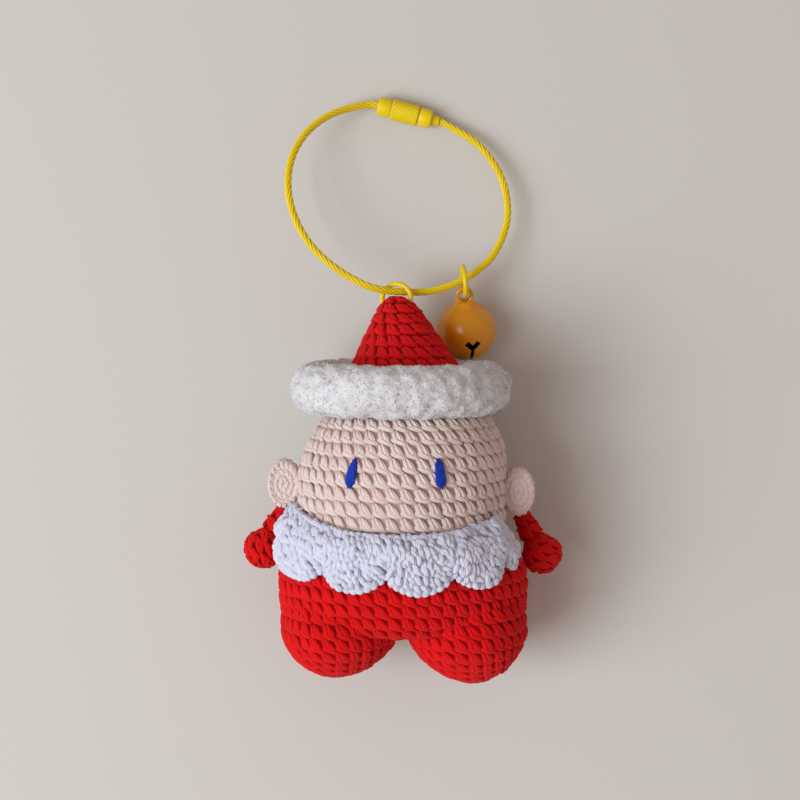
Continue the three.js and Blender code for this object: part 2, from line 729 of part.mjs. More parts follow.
const cableStart = SOCKET_DEPTH - SEAT_GAP;
const cableEnd = FERRULE_END - SOCKET_DEPTH + SEAT_GAP;
const cablePath = new THREE.CatmullRomCurve3([
  onClasp(cableStart), onClasp(cableStart / 2), onClasp(-CABLE_LEAD_IN),
  ...CABLE_ROUTE.map(([x, y, z]) => link.clone().add(vector(x, y, z))),
  onClasp(FERRULE_END + CABLE_LEAD_OUT), onClasp((cableEnd + FERRULE_END) / 2), onClasp(cableEnd),
], false, 'centripetal');

// The point of the cable nearest to a place, with the cable's direction there
function cableNear(place) {
  const samples = 600;
  let best = 0;
  for (let sample = 0; sample <= samples; sample += 1) {
    const nearer = cablePath.getPointAt(sample / samples).distanceTo(place)
      < cablePath.getPointAt(best / samples).distanceTo(place);
    if (nearer) best = sample;
  }
  return { point: cablePath.getPointAt(best / samples), along: cablePath.getTangentAt(best / samples) };
}

function makeCable() {
  return pieceMesh('cable', tube(cablePath, CABLE_RADIUS, CABLE_STEPS, WIRE_SIDES), yellowLacquer);
}

function makeStudEnd() {
  const collar = solidOf(rodAlongX(COLLAR_RADIUS, 0, COLLAR_LENGTH));
  const stud = solidOf(rodAlongX(STUD_RADIUS, COLLAR_LENGTH / 2, COLLAR_LENGTH + STUD_LENGTH));
  const socket = solidOf(rodAlongX(SOCKET_RADIUS, -CUT_OVERRUN, SOCKET_DEPTH, BORE_SIDES));
  return pieceMesh('stud_end', collar.add(stud).subtract(socket), yellowLacquer);
}

// The knurl: a toothed section drawn along the axis and twisted
function knurledBarrel() {
  const section = new THREE.Shape();
  const points = KNURL_RIDGES * 2;
  for (let point = 0; point < points; point += 1) {
    const angle = (point / points) * 2 * Math.PI;
    const radius = point % 2 === 0 ? KNURL_RADIUS : KNURL_RADIUS - KNURL_DEPTH;
    const move = point === 0 ? 'moveTo' : 'lineTo';
    section[move](radius * Math.cos(angle), radius * Math.sin(angle));
  }
  section.closePath();
  const barrel = new THREE.ExtrudeGeometry(section, { depth: KNURL_LENGTH, steps: 8, bevelEnabled: false });
  barrel.rotateY(Math.PI / 2);
  barrel.translate(NUT_START, 0, 0);
  const twist = Math.tan(degrees(KNURL_ANGLE)) / KNURL_RADIUS;
  const position = barrel.attributes.position;
  const point = new THREE.Vector3();
  const axis = vector(1, 0, 0);
  for (let vertex = 0; vertex < position.count; vertex += 1) {
    point.fromBufferAttribute(position, vertex);
    point.applyAxisAngle(axis, twist * (point.x - NUT_START));
    position.setXYZ(vertex, point.x, point.y, point.z);
  }
  return solidOf(barrel);
}

function makeKnurledNut() {
  const groove = solidOf(rodAlongX(COLLAR_RADIUS - GROOVE_DEPTH, GROOVE_START - CUT_OVERRUN, SKIRT_START + CUT_OVERRUN));
  const skirt = solidOf(rodAlongX(COLLAR_RADIUS, SKIRT_START, NUT_END));
  const bore = solidOf(rodAlongX(BORE_RADIUS, NUT_START - CUT_OVERRUN, LIP_START));
  const exit = solidOf(rodAlongX(LIP_RADIUS, LIP_START - CUT_OVERRUN, NUT_END + CUT_OVERRUN));
  const nut = knurledBarrel().add(groove).add(skirt).subtract(bore).subtract(exit);
  return pieceMesh('knurled_nut', nut, yellowLacquer);
}

function makeSwivelEnd() {
  const flange = solidOf(rodAlongX(STUD_RADIUS, FLANGE_END - FLANGE_LENGTH, FLANGE_END));
  const neck = solidOf(rodAlongX(FERRULE_RADIUS, FLANGE_END - FLANGE_LENGTH / 2, FERRULE_END));
  const socket = solidOf(rodAlongX(SOCKET_RADIUS, FERRULE_END - SOCKET_DEPTH, FERRULE_END + CUT_OVERRUN, BORE_SIDES));
  return pieceMesh('swivel_end', flange.add(neck).subtract(socket), yellowLacquer);
}

// The bell lies on the table, below and behind the point of the cable that its ring hangs over.
// Its axis rises towards that point, and the ring's plane stands upright along the same line.

const bellHang = cableNear(link.clone().add(vector(...BELL_HANG)));
const bellCentre = vector(bellHang.point.x, bellHang.point.y, BELL_RADIUS + BELL_LIFT)
  .add(vector(BELL_OFFSET_X, -BELL_OFFSET_Y, 0));
const bellLine = vector(BELL_SWAY, BELL_OFFSET_Y, 0).normalize();
const bellAxis = bellLine.clone().multiplyScalar(Math.cos(degrees(BELL_RISE)));
bellAxis.z = Math.sin(degrees(BELL_RISE));
const lugPoint = bellCentre.clone().addScaledVector(bellAxis, LUG_REACH);
const bellRingCentre = lugPoint.clone().addScaledVector(bellAxis, RING_RADIUS);
const bellSide = bellLine.clone().cross(vector(0, 0, 1)).normalize();
const bellFront = bellSide.clone().cross(bellAxis).normalize();

function makeBellRing() {
  const frame = new THREE.Matrix4().makeBasis(bellAxis, bellFront, bellSide);
  const ring = jumpRing(BELL_RING_SPLIT_ANGLE);
  ring.rotateX(degrees(BELL_RING_ROLL));
  ring.applyMatrix4(frame.setPosition(bellRingCentre));
  return pieceMesh('bell_ring', ring, yellowLacquer);
}

// The bell in its own frame: +Y towards the lug, the lug's flat faces towards +Z
function makeBellShell() {
  const steps = 12;
  const neckSteps = 4;
  const flare = degrees(NECK_FLARE_POLAR);
  const profile = [];
  for (let step = 0; step <= steps; step += 1) {
    const polar = blend(Math.PI, flare, step / steps);
    profile.push([BELL_RADIUS * Math.sin(polar), BELL_RADIUS * Math.cos(polar)]);
  }
  profile[0][0] = 0;
  const [flareRadius, flareY] = profile[steps];
  for (let step = 1; step <= neckSteps; step += 1) {
    const left = 1 - step / neckSteps;
    const radius = blend(BELL_NECK_RADIUS, flareRadius, Math.pow(left, NECK_FLARE_POWER));
    profile.push([radius, blend(LUG_REACH, flareY, left)]);
  }
  profile.push([0, LUG_REACH]);
  const inner = BELL_RADIUS - BELL_WALL;
  const lug = new THREE.CylinderGeometry(LUG_RADIUS, LUG_RADIUS, LUG_THICKNESS, ROUND_SIDES);
  lug.rotateX(Math.PI / 2);
  lug.translate(0, LUG_REACH, 0);
  const cheekY = BELL_RADIUS + LUG_SHOULDER;
  const cheek = box([-REACH, cheekY, -REACH], [REACH, REACH, -LUG_THICKNESS / 2]);
  const otherCheek = box([-REACH, cheekY, LUG_THICKNESS / 2], [REACH, REACH, REACH]);
  const hole = new THREE.CylinderGeometry(LUG_HOLE_RADIUS, LUG_HOLE_RADIUS, BELL_RADIUS, BORE_SIDES);
  hole.rotateX(Math.PI / 2);
  hole.translate(0, LUG_REACH, 0);
  const shell = solidOf(turned(profile))
    .subtract(solidOf(cheek))
    .subtract(solidOf(otherCheek))
    .add(solidOf(lug))
    .subtract(solidOf(hole))
    .subtract(solidOf(new THREE.SphereGeometry(inner, 24, 14)))
    .subtract(bellSlot());
  return pieceMesh('bell_shell', shell, amberLacquer);
}

// The slot across the bell's foot, forked where it ends on the front and on the back
function bellSlot() {
  const forkY = -BELL_RADIUS * Math.cos(degrees(SLOT_POLAR));
  const beyond = BELL_RADIUS + CUT_OVERRUN;
  const stem = solidOf(box([-SLOT_WIDTH / 2, -beyond, -beyond], [SLOT_WIDTH / 2, forkY, beyond]));
  const prongs = [-1, 1].map((side) => {
    const prong = box([-FORK_WIDTH / 2, -FORK_WIDTH / 2, -beyond], [FORK_WIDTH / 2, FORK_LENGTH, beyond]);
    prong.rotateZ(side * degrees(FORK_ANGLE));
    prong.translate(0, forkY, 0);
    return solidOf(prong);
  });
  return stem.add(prongs[0]).add(prongs[1]).rotate([0, BELL_ROLL, 0]);
}

// Assembly

const keychain = new THREE.Group();
keychain.name = 'santa_keychain';

doll.add(
  makeHatCone(), makeHatStuffing(), makeBrim(), makeHead(),
  makeEar('left_ear', -1, LEFT_EAR_Y), makeEar('right_ear', 1, RIGHT_EAR_Y),
  makeEye('left_eye', -1), makeEye('right_eye', 1),
  makeBeard(), makeBody(), makeLeg(LEFT_LEG), makeLeg(RIGHT_LEG), makeStuffing(),
);
doll.add(makeArm('left_arm', -1, LEFT_HAND), makeArm('right_arm', 1, RIGHT_HAND));

const hatRing = pieceMesh('hat_ring', jumpRing(HAT_RING_SPLIT_ANGLE), yellowLacquer);
hatRing.applyMatrix4(hatRingMatrix);
keychain.add(hatRing);

clasp.add(makeStudEnd(), makeKnurledNut(), makeSwivelEnd());

const bell = new THREE.Group();
bell.matrix.makeBasis(bellSide, bellAxis, bellFront).setPosition(bellCentre);
bell.matrix.decompose(bell.position, bell.quaternion, bell.scale);
bell.add(makeBellShell());

const pellet = pieceMesh('bell_pellet', new THREE.SphereGeometry(PELLET_RADIUS, 14, 10), pelletSteel);
pellet.position.copy(bellCentre);
pellet.position.z -= BELL_RADIUS - BELL_WALL - PELLET_RADIUS - SEAT_GAP;

keychain.add(doll, makeCable(), clasp, makeBellRing(), bell, pellet);

// The origin goes to the table, under the middle of the whole object
keychain.updateMatrixWorld(true);
const extent = new THREE.Box3().setFromObject(keychain, true);
const middle = extent.getCenter(new THREE.Vector3());
keychain.position.set(-middle.x, -middle.y, -extent.min.z);

// Where each joint turns, as a point and an axis of the finished object
const hinge = (point, axis) => ({ point: point.clone().add(keychain.position), axis: axis.clone().normalize() });
const linkCable = cableNear(link);
const dollAxis = (x, y, z) => vector(x, y, z).transformDirection(dollToTable);
keychain.userData.hinges = {
  hat_ring_swing: hinge(hatRingHinge, hatRingAxis),
  key_ring_swing: hinge(linkCable.point, linkCable.along),
  nut_turn: hinge(onClasp(NUT_START), vector(1, 0, 0).transformDirection(clasp.matrix)),
  bell_ring_swing: hinge(bellHang.point, bellHang.along),
  bell_swing: hinge(lugPoint, bellFront),
  pellet_roll: hinge(bellCentre, bellSide),
  left_arm_swing: hinge(armRoot(-1).applyMatrix4(dollToTable), dollAxis(0, 0, -1)),
  right_arm_swing: hinge(armRoot(1).applyMatrix4(dollToTable), dollAxis(0, 0, 1)),
};

export default keychain;
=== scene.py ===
"""Crochet santa keychain, lying on its back: the yarn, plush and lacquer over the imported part.

The doll's own frame is in millimetres: x to the right, y from the feet to the tip of the hat and w towards
the face. The part's frame is in metres, with z up from the table.
"""

import bisect
import logging
import math
import random
from dataclasses import dataclass
from enum import Enum
from typing import Callable, Iterable, Iterator, NamedTuple, Sequence, Union

import bmesh
import bpy
from mathutils import Matrix, Vector, noise

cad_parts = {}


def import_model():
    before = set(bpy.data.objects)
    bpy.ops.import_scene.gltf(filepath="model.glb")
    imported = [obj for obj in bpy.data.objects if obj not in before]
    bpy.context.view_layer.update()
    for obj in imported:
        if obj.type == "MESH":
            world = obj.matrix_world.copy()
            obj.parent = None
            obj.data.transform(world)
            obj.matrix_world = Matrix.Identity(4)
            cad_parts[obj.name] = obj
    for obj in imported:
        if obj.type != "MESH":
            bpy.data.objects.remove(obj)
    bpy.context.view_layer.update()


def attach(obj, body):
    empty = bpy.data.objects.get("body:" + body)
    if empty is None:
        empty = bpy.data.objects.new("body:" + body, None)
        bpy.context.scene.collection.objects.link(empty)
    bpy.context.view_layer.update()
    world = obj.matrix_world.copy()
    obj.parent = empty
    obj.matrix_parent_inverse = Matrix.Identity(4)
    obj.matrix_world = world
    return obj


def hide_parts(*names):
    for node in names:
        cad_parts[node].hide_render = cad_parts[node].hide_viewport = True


LOG = logging.getLogger("santa_keychain")
MM = 0.001
FULL_TURN = 2 * math.pi
LUMP_SIZE = 5.0
Colour = tuple[float, float, float]
Key = Union[int, str]
Shape = bmesh.types.BMesh
Profile = list[tuple[float, float]]
Triple = tuple[float, float, float]


def linear(red: int, green: int, blue: int) -> Colour:
    """A colour picked on a screen, from 0 to 255, as linear light."""
    return tuple(
        (value / 255 / 12.92) if value <= 10 else ((value / 255 + 0.055) / 1.055) ** 2.4
        for value in (red, green, blue)
    )


# Shader building


class Flow:
    """A value or a colour on its way through a material, so that shader maths reads as an expression."""

    def __init__(self, shader: "Shader", socket: bpy.types.NodeSocket) -> None:
        """Keeps the material that the socket belongs to."""
        self.shader = shader
        self.socket = socket

    def _maths(self, operation: str, left: "Term", right: "Term") -> "Flow":
        """Adds one Math node between two terms."""
        return self.shader.node("ShaderNodeMath", {"operation": operation}, {0: left, 1: right})

    def __add__(self, other: "Term") -> "Flow":
        """This value and another together, in either order."""
        return self._maths("ADD", self, other)

    __radd__ = __add__

    def __sub__(self, other: "Term") -> "Flow":
        """This value less another."""
        return self._maths("SUBTRACT", self, other)

    def __rsub__(self, other: "Term") -> "Flow":
        """Another value less this one."""
        return self._maths("SUBTRACT", other, self)

    def __mul__(self, other: "Term") -> "Flow":
        """This value times another, in either order."""
        return self._maths("MULTIPLY", self, other)

    __rmul__ = __mul__

    def __pow__(self, other: "Term") -> "Flow":
        """This value to a power."""
        return self._maths("POWER", self, other)

    def sine(self) -> "Flow":
        """The sine of this value."""
        return self._maths("SINE", self, 0.0)

    def magnitude(self) -> "Flow":
        """This value without its sign."""
        return self._maths("ABSOLUTE", self, 0.0)

    def clamped(self) -> "Flow":
        """This value kept from 0 to 1."""
        return self.shader.node("ShaderNodeClamp", {}, {0: self})

    def beside(self, output: str) -> "Flow":
        """Another result of the node that this value comes from."""
        return Flow(self.shader, self.socket.node.outputs[output])


Term = Union[Flow, float]


class Shader:
    """One material and the nodes that make it."""

    def __init__(self, name: str) -> None:
        """Starts a material with only its Principled shader."""
        self.material = bpy.data.materials.new(name)
        self.material.use_nodes = True
        self.tree = self.material.node_tree
        self.surface = self.tree.nodes["Principled BSDF"]

    def node(
        self, kind: str, settings: dict[str, object], inputs: dict[Key, object], output: Key = 0
    ) -> Flow:
        """Adds one node.

        Args:
            kind: The node's type.
            settings: Its own settings, and under "stops" a colour ramp's positions and colours.
            inputs: A value or a Flow for each socket, by its number or name.
            output: The number or name of the socket that carries the result.

        Returns:
            The node's result.
        """
        node = self.tree.nodes.new(kind)
        for name, value in settings.items():
            if name == "stops":
                self._set_stops(node.color_ramp.elements, value)
            else:
                setattr(node, name, value)
        for key, value in inputs.items():
            if isinstance(value, Flow):
                self.tree.links.new(value.socket, node.inputs[key])
            else:
                node.inputs[key].default_value = value
        return Flow(self, node.outputs[output])

    @staticmethod
    def _set_stops(elements: bpy.types.ColorRampElements, stops: Sequence[tuple[float, Colour]]) -> None:
        """Gives a colour ramp its stops."""
        for position, colour in stops[1:-1]:
            elements.new(position).color = (*colour, 1)
        elements[0].position = stops[0][0]
        elements[0].color = (*stops[0][1], 1)
        elements[-1].position = stops[-1][0]
        elements[-1].color = (*stops[-1][1], 1)

    def noise(self, scale: float, detail: float = 2.0, roughness: float = 0.5) -> Flow:
        """A soft noise from 0 to 1, with so many waves per metre of the part's frame."""
        inputs = {"Vector": self.node("ShaderNodeTexCoord", {}, {}, "Object"), "Scale": scale}
        return self.node("ShaderNodeTexNoise", {}, {**inputs, "Detail": detail, "Roughness": roughness})

    def tone(self) -> Flow:
        """The tone that the mesh carries at each vertex."""
        return self.node("ShaderNodeAttribute", {"attribute_name": "tone"}, {}, "Fac")

    def blend(self, share: Flow, low: Colour, high: Colour) -> Flow:
        """A colour between two others."""
        settings = {"data_type": "RGBA", "clamp_factor": True}
        return self.node("ShaderNodeMix", settings, {0: share, 6: (*low, 1), 7: (*high, 1)}, 2)

    def ramp(self, share: Flow, *stops: tuple[float, Colour]) -> Flow:
        """A colour picked along a row of stops."""
        return self.node("ShaderNodeValToRGB", {"stops": stops}, {0: share})

    def bump(self, height: Flow, depth_mm: float) -> Flow:
        """A normal raised by a height that stands for so many millimetres."""
        return self.node("ShaderNodeBump", {}, {"Strength": 1.0, "Distance": depth_mm * MM, "Height": height})

    def dress(self, **sockets: Union[Flow, float, Colour]) -> bpy.types.Material:
        """Feeds the Principled shader.

        Args:
            **sockets: A constant or a Flow for each socket, with underscores for the spaces in its name.

        Returns:
            The finished material.
        """
        for key, value in sockets.items():
            socket = self.surface.inputs[key.replace("_", " ")]
            if isinstance(value, Flow):
                self.tree.links.new(value.socket, socket)
            elif isinstance(value, tuple):
                socket.default_value = (*value, 1)
            else:
                socket.default_value = value
        return self.material


# Finishes


@dataclass(frozen=True)
class YarnFinish:
    """Plied worsted yarn: strands wound round each other, with a soft nap."""

    name: str
    light: Colour
    mid: Colour
    shade: Colour
    plies: float = 2.6
    lay: float = 1.5
    wander: float = 0.5
    wander_scale: float = 420
    ply_contrast: float = 0.30
    ply_depth: float = 0.10
    nap_contrast: float = 0.5
    nap_depth: float = 0.05
    nap_scale: float = 2600
    tone_contrast: float = 0.22
    edge_shade: float = 0.26
    end_shade: float = 0.24
    level: float = 0.26
    sheen: float = 0.12

    def material(self) -> bpy.types.Material:
        """The yarn's material, whose plies follow each strand's own UV map, with painted shade in the ply
        grooves and towards each strand's edges and ends.
        """
        shader = Shader(self.name)
        yarn = shader.node("ShaderNodeUVMap", {"uv_map": "yarn"}, {})
        across = shader.node("ShaderNodeSeparateXYZ", {}, {0: yarn}, "X")
        along = across.beside("Y")
        nap = shader.noise(self.nap_scale, 3.0, 0.6)
        turns = across * self.plies + along * self.lay + shader.noise(self.wander_scale) * self.wander
        ply = (turns * FULL_TURN).sine() * 0.5 + 0.5
        # Painted shade: each strand is darkened towards its edges and ends, where it rounds away and dips
        # under its neighbours, and in the grooves between its plies.
        edge = ((across - 0.5) * 2.0).magnitude() ** 2.0
        end = ((along - 0.5) * 2.0).magnitude() ** 3.0
        lit = ply * self.ply_contrast + nap * self.nap_contrast + shader.tone() * self.tone_contrast
        level = (lit + self.level - edge * self.edge_shade - end * self.end_shade).clamped()
        return shader.dress(
            Base_Color=shader.ramp(level, (0.0, self.shade), (0.45, self.mid), (0.95, self.light)),
            Normal=shader.bump(ply * self.ply_depth + nap * self.nap_depth, 1.0),
            Roughness=0.92, Sheen_Weight=self.sheen, Sheen_Roughness=0.6, Specular_IOR_Level=0.2,
        )


@dataclass(frozen=True)
class GroundFinish:
    """The fabric between the stitches, where the light hardly reaches, painted darker than the yarn as
    painted shade.
    """

    name: str
    low: Colour
    high: Colour

    def material(self) -> bpy.types.Material:
        """The ground's material: a fine felted noise between two tones, both painted dark as shade."""
        shader = Shader(self.name)
        grain = shader.noise(1500, 3.0)
        return shader.dress(
            Base_Color=shader.blend(grain, self.low, self.high), Normal=shader.bump(grain, 0.12),
            Roughness=0.97, Specular_IOR_Level=0.1,
        )


@dataclass(frozen=True)
class PlushFinish:
    """Short-pile chenille: a soft mass of fibre tips, painted greyer down between them as painted shade."""

    name: str
    light: Colour
    mid: Colour
    shade: Colour
    curl_scale: float = 950
    curl_contrast: float = 0.9
    clump_scale: float = 260
    clump_contrast: float = 0.45
    tone_contrast: float = 0.30
    level: float = -0.34

    def material(self) -> bpy.types.Material:
        """The plush's material, with curls of about a millimetre."""
        shader = Shader(self.name)
        curls = shader.noise(self.curl_scale, 4.0, 0.65)
        clumps = shader.noise(self.clump_scale)
        # Painted shade: the colour follows the curls' bump, darker in their low places.
        lit = curls * self.curl_contrast + clumps * self.clump_contrast + shader.tone() * self.tone_contrast
        level = (lit + self.level).clamped()
        return shader.dress(
            Base_Color=shader.ramp(level, (0.05, self.shade), (0.42, self.mid), (0.75, self.light)),
            Normal=shader.bump(curls, 0.35),
            Roughness=0.96, Sheen_Weight=0.2, Sheen_Roughness=0.5, Specular_IOR_Level=0.15,
        )


@dataclass(frozen=True)
class LacquerFinish:
    """Coloured lacquer over metal, a little uneven, and darker in its low places."""

    name: str
    light: Colour
    deep: Colour
    roughness: float
    wave_depth: float = 0.02
    shine: float = 0.5

    def material(self) -> bpy.types.Material:
        """The lacquer's material."""
        shader = Shader(self.name)
        flow = shader.noise(330)
        speck = shader.noise(3800)
        level = (flow * 0.6 + shader.tone() * 0.5).clamped()
        return shader.dress(
            Base_Color=shader.blend(level, self.deep, self.light),
            Normal=shader.bump(flow + speck * 0.15, self.wave_depth),
            Roughness=speck * 0.14 + (self.roughness - 0.07),
            Specular_IOR_Level=self.shine,
        )


@dataclass(frozen=True)
class SteelFinish:
    """Bright steel with fine tumbling marks."""

    name: str
    tint: Colour

    def material(self) -> bpy.types.Material:
        """The steel's material."""
        shader = Shader(self.name)
        marks = shader.noise(2400, 4.0)
        dark = tuple(value * 0.8 for value in self.tint)
        return shader.dress(
            Base_Color=shader.blend(marks, dark, self.tint), Metallic=1.0, Roughness=marks * 0.2 + 0.22,
            Normal=shader.bump(marks, 0.01),
        )


@dataclass(frozen=True)
class PaperFinish:
    """The matt board under the keychain."""

    name: str
    tint: Colour

    def material(self) -> bpy.types.Material:
        """The board's material, faintly uneven."""
        shader = Shader(self.name)
        tooth = shader.noise(900, 3.0)
        cloud = shader.noise(6, 1.0)
        dark = tuple(value * 0.955 for value in self.tint)
        return shader.dress(
            Base_Color=shader.blend(tooth * 0.5 + cloud * 0.5, dark, self.tint), Roughness=0.9,
            Normal=shader.bump(tooth, 0.03), Specular_IOR_Level=0.1,
        )


class Finish(Enum):
    """Every finish on the keychain and under it."""

    PINK = YarnFinish("pink_worsted", linear(228, 210, 205), linear(211, 186, 180), linear(176, 139, 131))
    # The grounds are the yarns' colours painted darker, as painted shade between the stitches.
    PINK_GROUND = GroundFinish("pink_ground", linear(168, 130, 120), linear(200, 167, 157))
    RED = YarnFinish(
        "red_worsted", linear(222, 6, 12), linear(207, 4, 9), linear(163, 1, 6), ply_contrast=0.24, sheen=0.03
    )
    RED_GROUND = GroundFinish("red_ground", linear(152, 1, 6), linear(192, 3, 9))
    WHITE = YarnFinish(
        "white_worsted", linear(214, 214, 231), linear(196, 196, 215), linear(152, 148, 168),
        plies=2.2, ply_depth=0.07,
    )
    WHITE_GROUND = GroundFinish("white_ground", linear(150, 147, 166), linear(196, 196, 214))
    PLUSH = PlushFinish("white_chenille", linear(230, 228, 230), linear(214, 211, 214), linear(180, 175, 178))
    BLUE = YarnFinish(
        "blue_floss", linear(25, 62, 178), linear(15, 40, 145), linear(8, 16, 98),
        plies=2.0, lay=3.0, sheen=0.05,
    )
    FILL = PlushFinish(
        "loose_fibre", linear(246, 245, 240), linear(232, 230, 222), linear(190, 186, 176), curl_scale=500
    )
    YELLOW = LacquerFinish("yellow_enamel", linear(240, 212, 3), linear(214, 180, 1), 0.40, shine=0.4)
    AMBER = LacquerFinish("amber_enamel", linear(224, 150, 0), linear(206, 130, 0), 0.25)
    # The bell's inside: dark bare metal, darkened further as painted shade so that the slot reads black.
    HOLLOW = LacquerFinish("bell_hollow", linear(52, 30, 12), linear(28, 16, 8), 0.6)
    STEEL = SteelFinish("tumbled_steel", linear(190, 192, 196))
    BOARD = PaperFinish("pale_board", linear(205, 200, 195))

    def material(self) -> bpy.types.Material:
        """This finish's material, made the first time that it is asked for."""
        return bpy.data.materials.get(self.value.name) or self.value.material()


PINK_FABRIC = (Finish.PINK, Finish.PINK_GROUND)
RED_FABRIC = (Finish.RED, Finish.RED_GROUND)
WHITE_FABRIC = (Finish.WHITE, Finish.WHITE_GROUND)


# Making meshes


def turned(degrees: float, axis: str) -> Matrix:
    """A turn about an axis through the origin."""
    return Matrix.Rotation(math.radians(degrees), 4, axis)


def sized(x: float, y: float, z: float) -> Matrix:
    """A change of size along each axis."""
    return Matrix.Diagonal((x, y, z, 1))


def framed(right: Vector, up: Vector, out: Vector, origin: Vector) -> Matrix:
    """The frame that has these three directions and this origin."""
    place = Matrix((right, up, out)).transposed().to_4x4()
    place.translation = origin
    return place


@dataclass(frozen=True)
class DollPlace:
    """How the doll lies: tilted about x, so that the brim and the back both touch the table."""

    origin: Triple = (-0.3475, -4.1159, 24.4274)
    tilt: float = 3.527
    table: float = 0.06

    def matrix(self) -> Matrix:
        """The way from the doll's frame to the part's frame, both in millimetres."""
        return Matrix.Translation(self.origin) @ turned(self.tilt, "X")


DOLL = DollPlace()


def new_shape() -> Shape:
    """An empty shape whose vertices carry a tone and whose faces carry the yarn's map."""
    shape = bmesh.new()
    shape.verts.layers.float.new("tone")
    shape.loops.layers.uv.new("yarn")
    return shape


def keep(shape: Shape, name: str) -> bpy.types.Mesh:
    """Turns a shape into a mesh, and lets the shape go."""
    mesh = bpy.data.meshes.new(name)
    shape.to_mesh(mesh)
    shape.free()
    return mesh


def absorb(shape: Shape, other: Shape) -> None:
    """Moves all of another shape into this one."""
    mesh = keep(other, "passing")
    shape.from_mesh(mesh)
    bpy.data.meshes.remove(mesh)


def set_tone(shape: Shape, tone: float, first: int = 0) -> None:
    """Gives the vertices of a shape, from one of them onwards, the same tone."""
    layer = shape.verts.layers.float["tone"]
    for vert in shape.verts[first:]:
        vert[layer] = tone


def use_second_finish(shape: Shape) -> None:
    """Gives all faces of a shape the second finish of their piece."""
    for face in shape.faces:
        face.material_index = 1


def move(shape: Shape, matrix: Matrix) -> None:
    """Moves the whole of a shape."""
    bmesh.ops.transform(shape, matrix=matrix, verts=shape.verts[:])


def face_outwards(shape: Shape) -> None:
    """Turns the faces of a shape outwards."""
    bmesh.ops.recalc_face_normals(shape, faces=shape.faces[:])


def weld(shape: Shape, distance: float) -> None:
    """Joins the vertices of a shape that lie within a distance of each other."""
    bmesh.ops.remove_doubles(shape, verts=shape.verts[:], dist=distance)


def close_holes(shape: Shape) -> None:
    """Closes the open ends of a shape."""
    bmesh.ops.holes_fill(shape, edges=[edge for edge in shape.edges if edge.is_boundary])


def placed(name: str, data: bpy.types.ID) -> bpy.types.Object:
    """Puts a new object into the scene."""
    made = bpy.data.objects.new(name, data)
    bpy.context.scene.collection.objects.link(made)
    return made


@dataclass(frozen=True)
class Stamp:
    """One copy of a pattern piece: where it goes, and its tone from 0 to 1."""

    matrix: Matrix
    tone: float


def stamp_all(shape: Shape, pattern: bpy.types.Mesh, stamps: Iterable[Stamp], batch: int = 150) -> None:
    """Copies a pattern piece to many places.

    Args:
        shape: The shape that takes the copies.
        pattern: The mesh of the pattern piece.
        stamps: The copies' places and tones.
        batch: How many copies are gathered before they join the shape.
    """
    stamps = list(stamps)
    for start in range(0, len(stamps), batch):
        gathered = new_shape()
        for stamp in stamps[start : start + batch]:
            before = len(gathered.verts)
            gathered.from_mesh(pattern)
            gathered.verts.ensure_lookup_table()
            bmesh.ops.transform(gathered, matrix=stamp.matrix, verts=gathered.verts[before:])
            set_tone(gathered, stamp.tone, before)
        absorb(shape, gathered)


def spun(profile: Profile, steps: int) -> Shape:
    """Turns a profile about the y axis.

    Args:
        profile: Radius and height of each point, from the low end to the high end.
        steps: The number of steps round.

    Returns:
        The turned shape, closed at its poles and with its faces outwards.
    """
    shape = new_shape()
    points = [shape.verts.new((radius, height, 0)) for radius, height in profile]
    edges = [shape.edges.new(pair) for pair in zip(points, points[1:])]
    bmesh.ops.spin(shape, geom=points + edges, axis=(0, 1, 0), angle=FULL_TURN, steps=steps, use_merge=True)
    weld(shape, 1e-5)
    face_outwards(shape)
    return shape


@dataclass
class Dressed:
    """A piece's place in the part: its body, its finish and the nodes that it stands for."""

    name: str
    body: str
    nodes: tuple[str, ...]
    slot: str
    finishes: tuple[Finish, ...]
    fill: float = -1.0

    def sew_on(self, shape: Shape, table: float = DOLL.table) -> None:
        """Makes a finished piece of the doll, from a shape in the doll's frame."""
        self.publish(shape, DOLL.matrix(), table)

    def publish(self, shape: Shape, matrix: Matrix, table: float = -1.0) -> None:
        """Makes the finished piece, which rides on its body.

        Args:
            shape: The piece's shape, in millimetres. It is let go.
            matrix: The way from the shape's frame to the part's frame, in millimetres.
            table: The height that no vertex goes below, in millimetres, or less than 0 for no such height.
        """
        move(shape, Matrix.Scale(MM, 4) @ matrix)
        if table >= 0:
            for vert in shape.verts:
                vert.co.z = max(vert.co.z, table * MM)
        mesh = keep(shape, self.name)
        for finish in self.finishes:
            mesh.materials.append(finish.material())
        mesh.polygons.foreach_set("use_smooth", [True] * len(mesh.polygons))
        piece = placed(self.name, mesh)
        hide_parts(*self.nodes)
        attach(piece, self.body)
        self.fill >= 0
        LOG.info("%s: %d faces on body %s", self.name, len(mesh.polygons), self.body)


# The doll's skin


class Section(NamedTuple):
    """One elliptical round of a piece of fabric, in the doll's frame."""

    y: float
    half_width: float
    half_depth: float
    x: float = 0.0
    w: float = 0.0

    def perimeter(self) -> float:
        """The length of the round."""
        a, b = max(self.half_width, 1e-6), max(self.half_depth, 1e-6)
        return math.pi * (3 * (a + b) - math.sqrt((3 * a + b) * (a + 3 * b)))

    def toward(self, other: "Section", share: float) -> "Section":
        """A round between this one and another."""
        return Section(*(low + (high - low) * share for low, high in zip(self, other)))


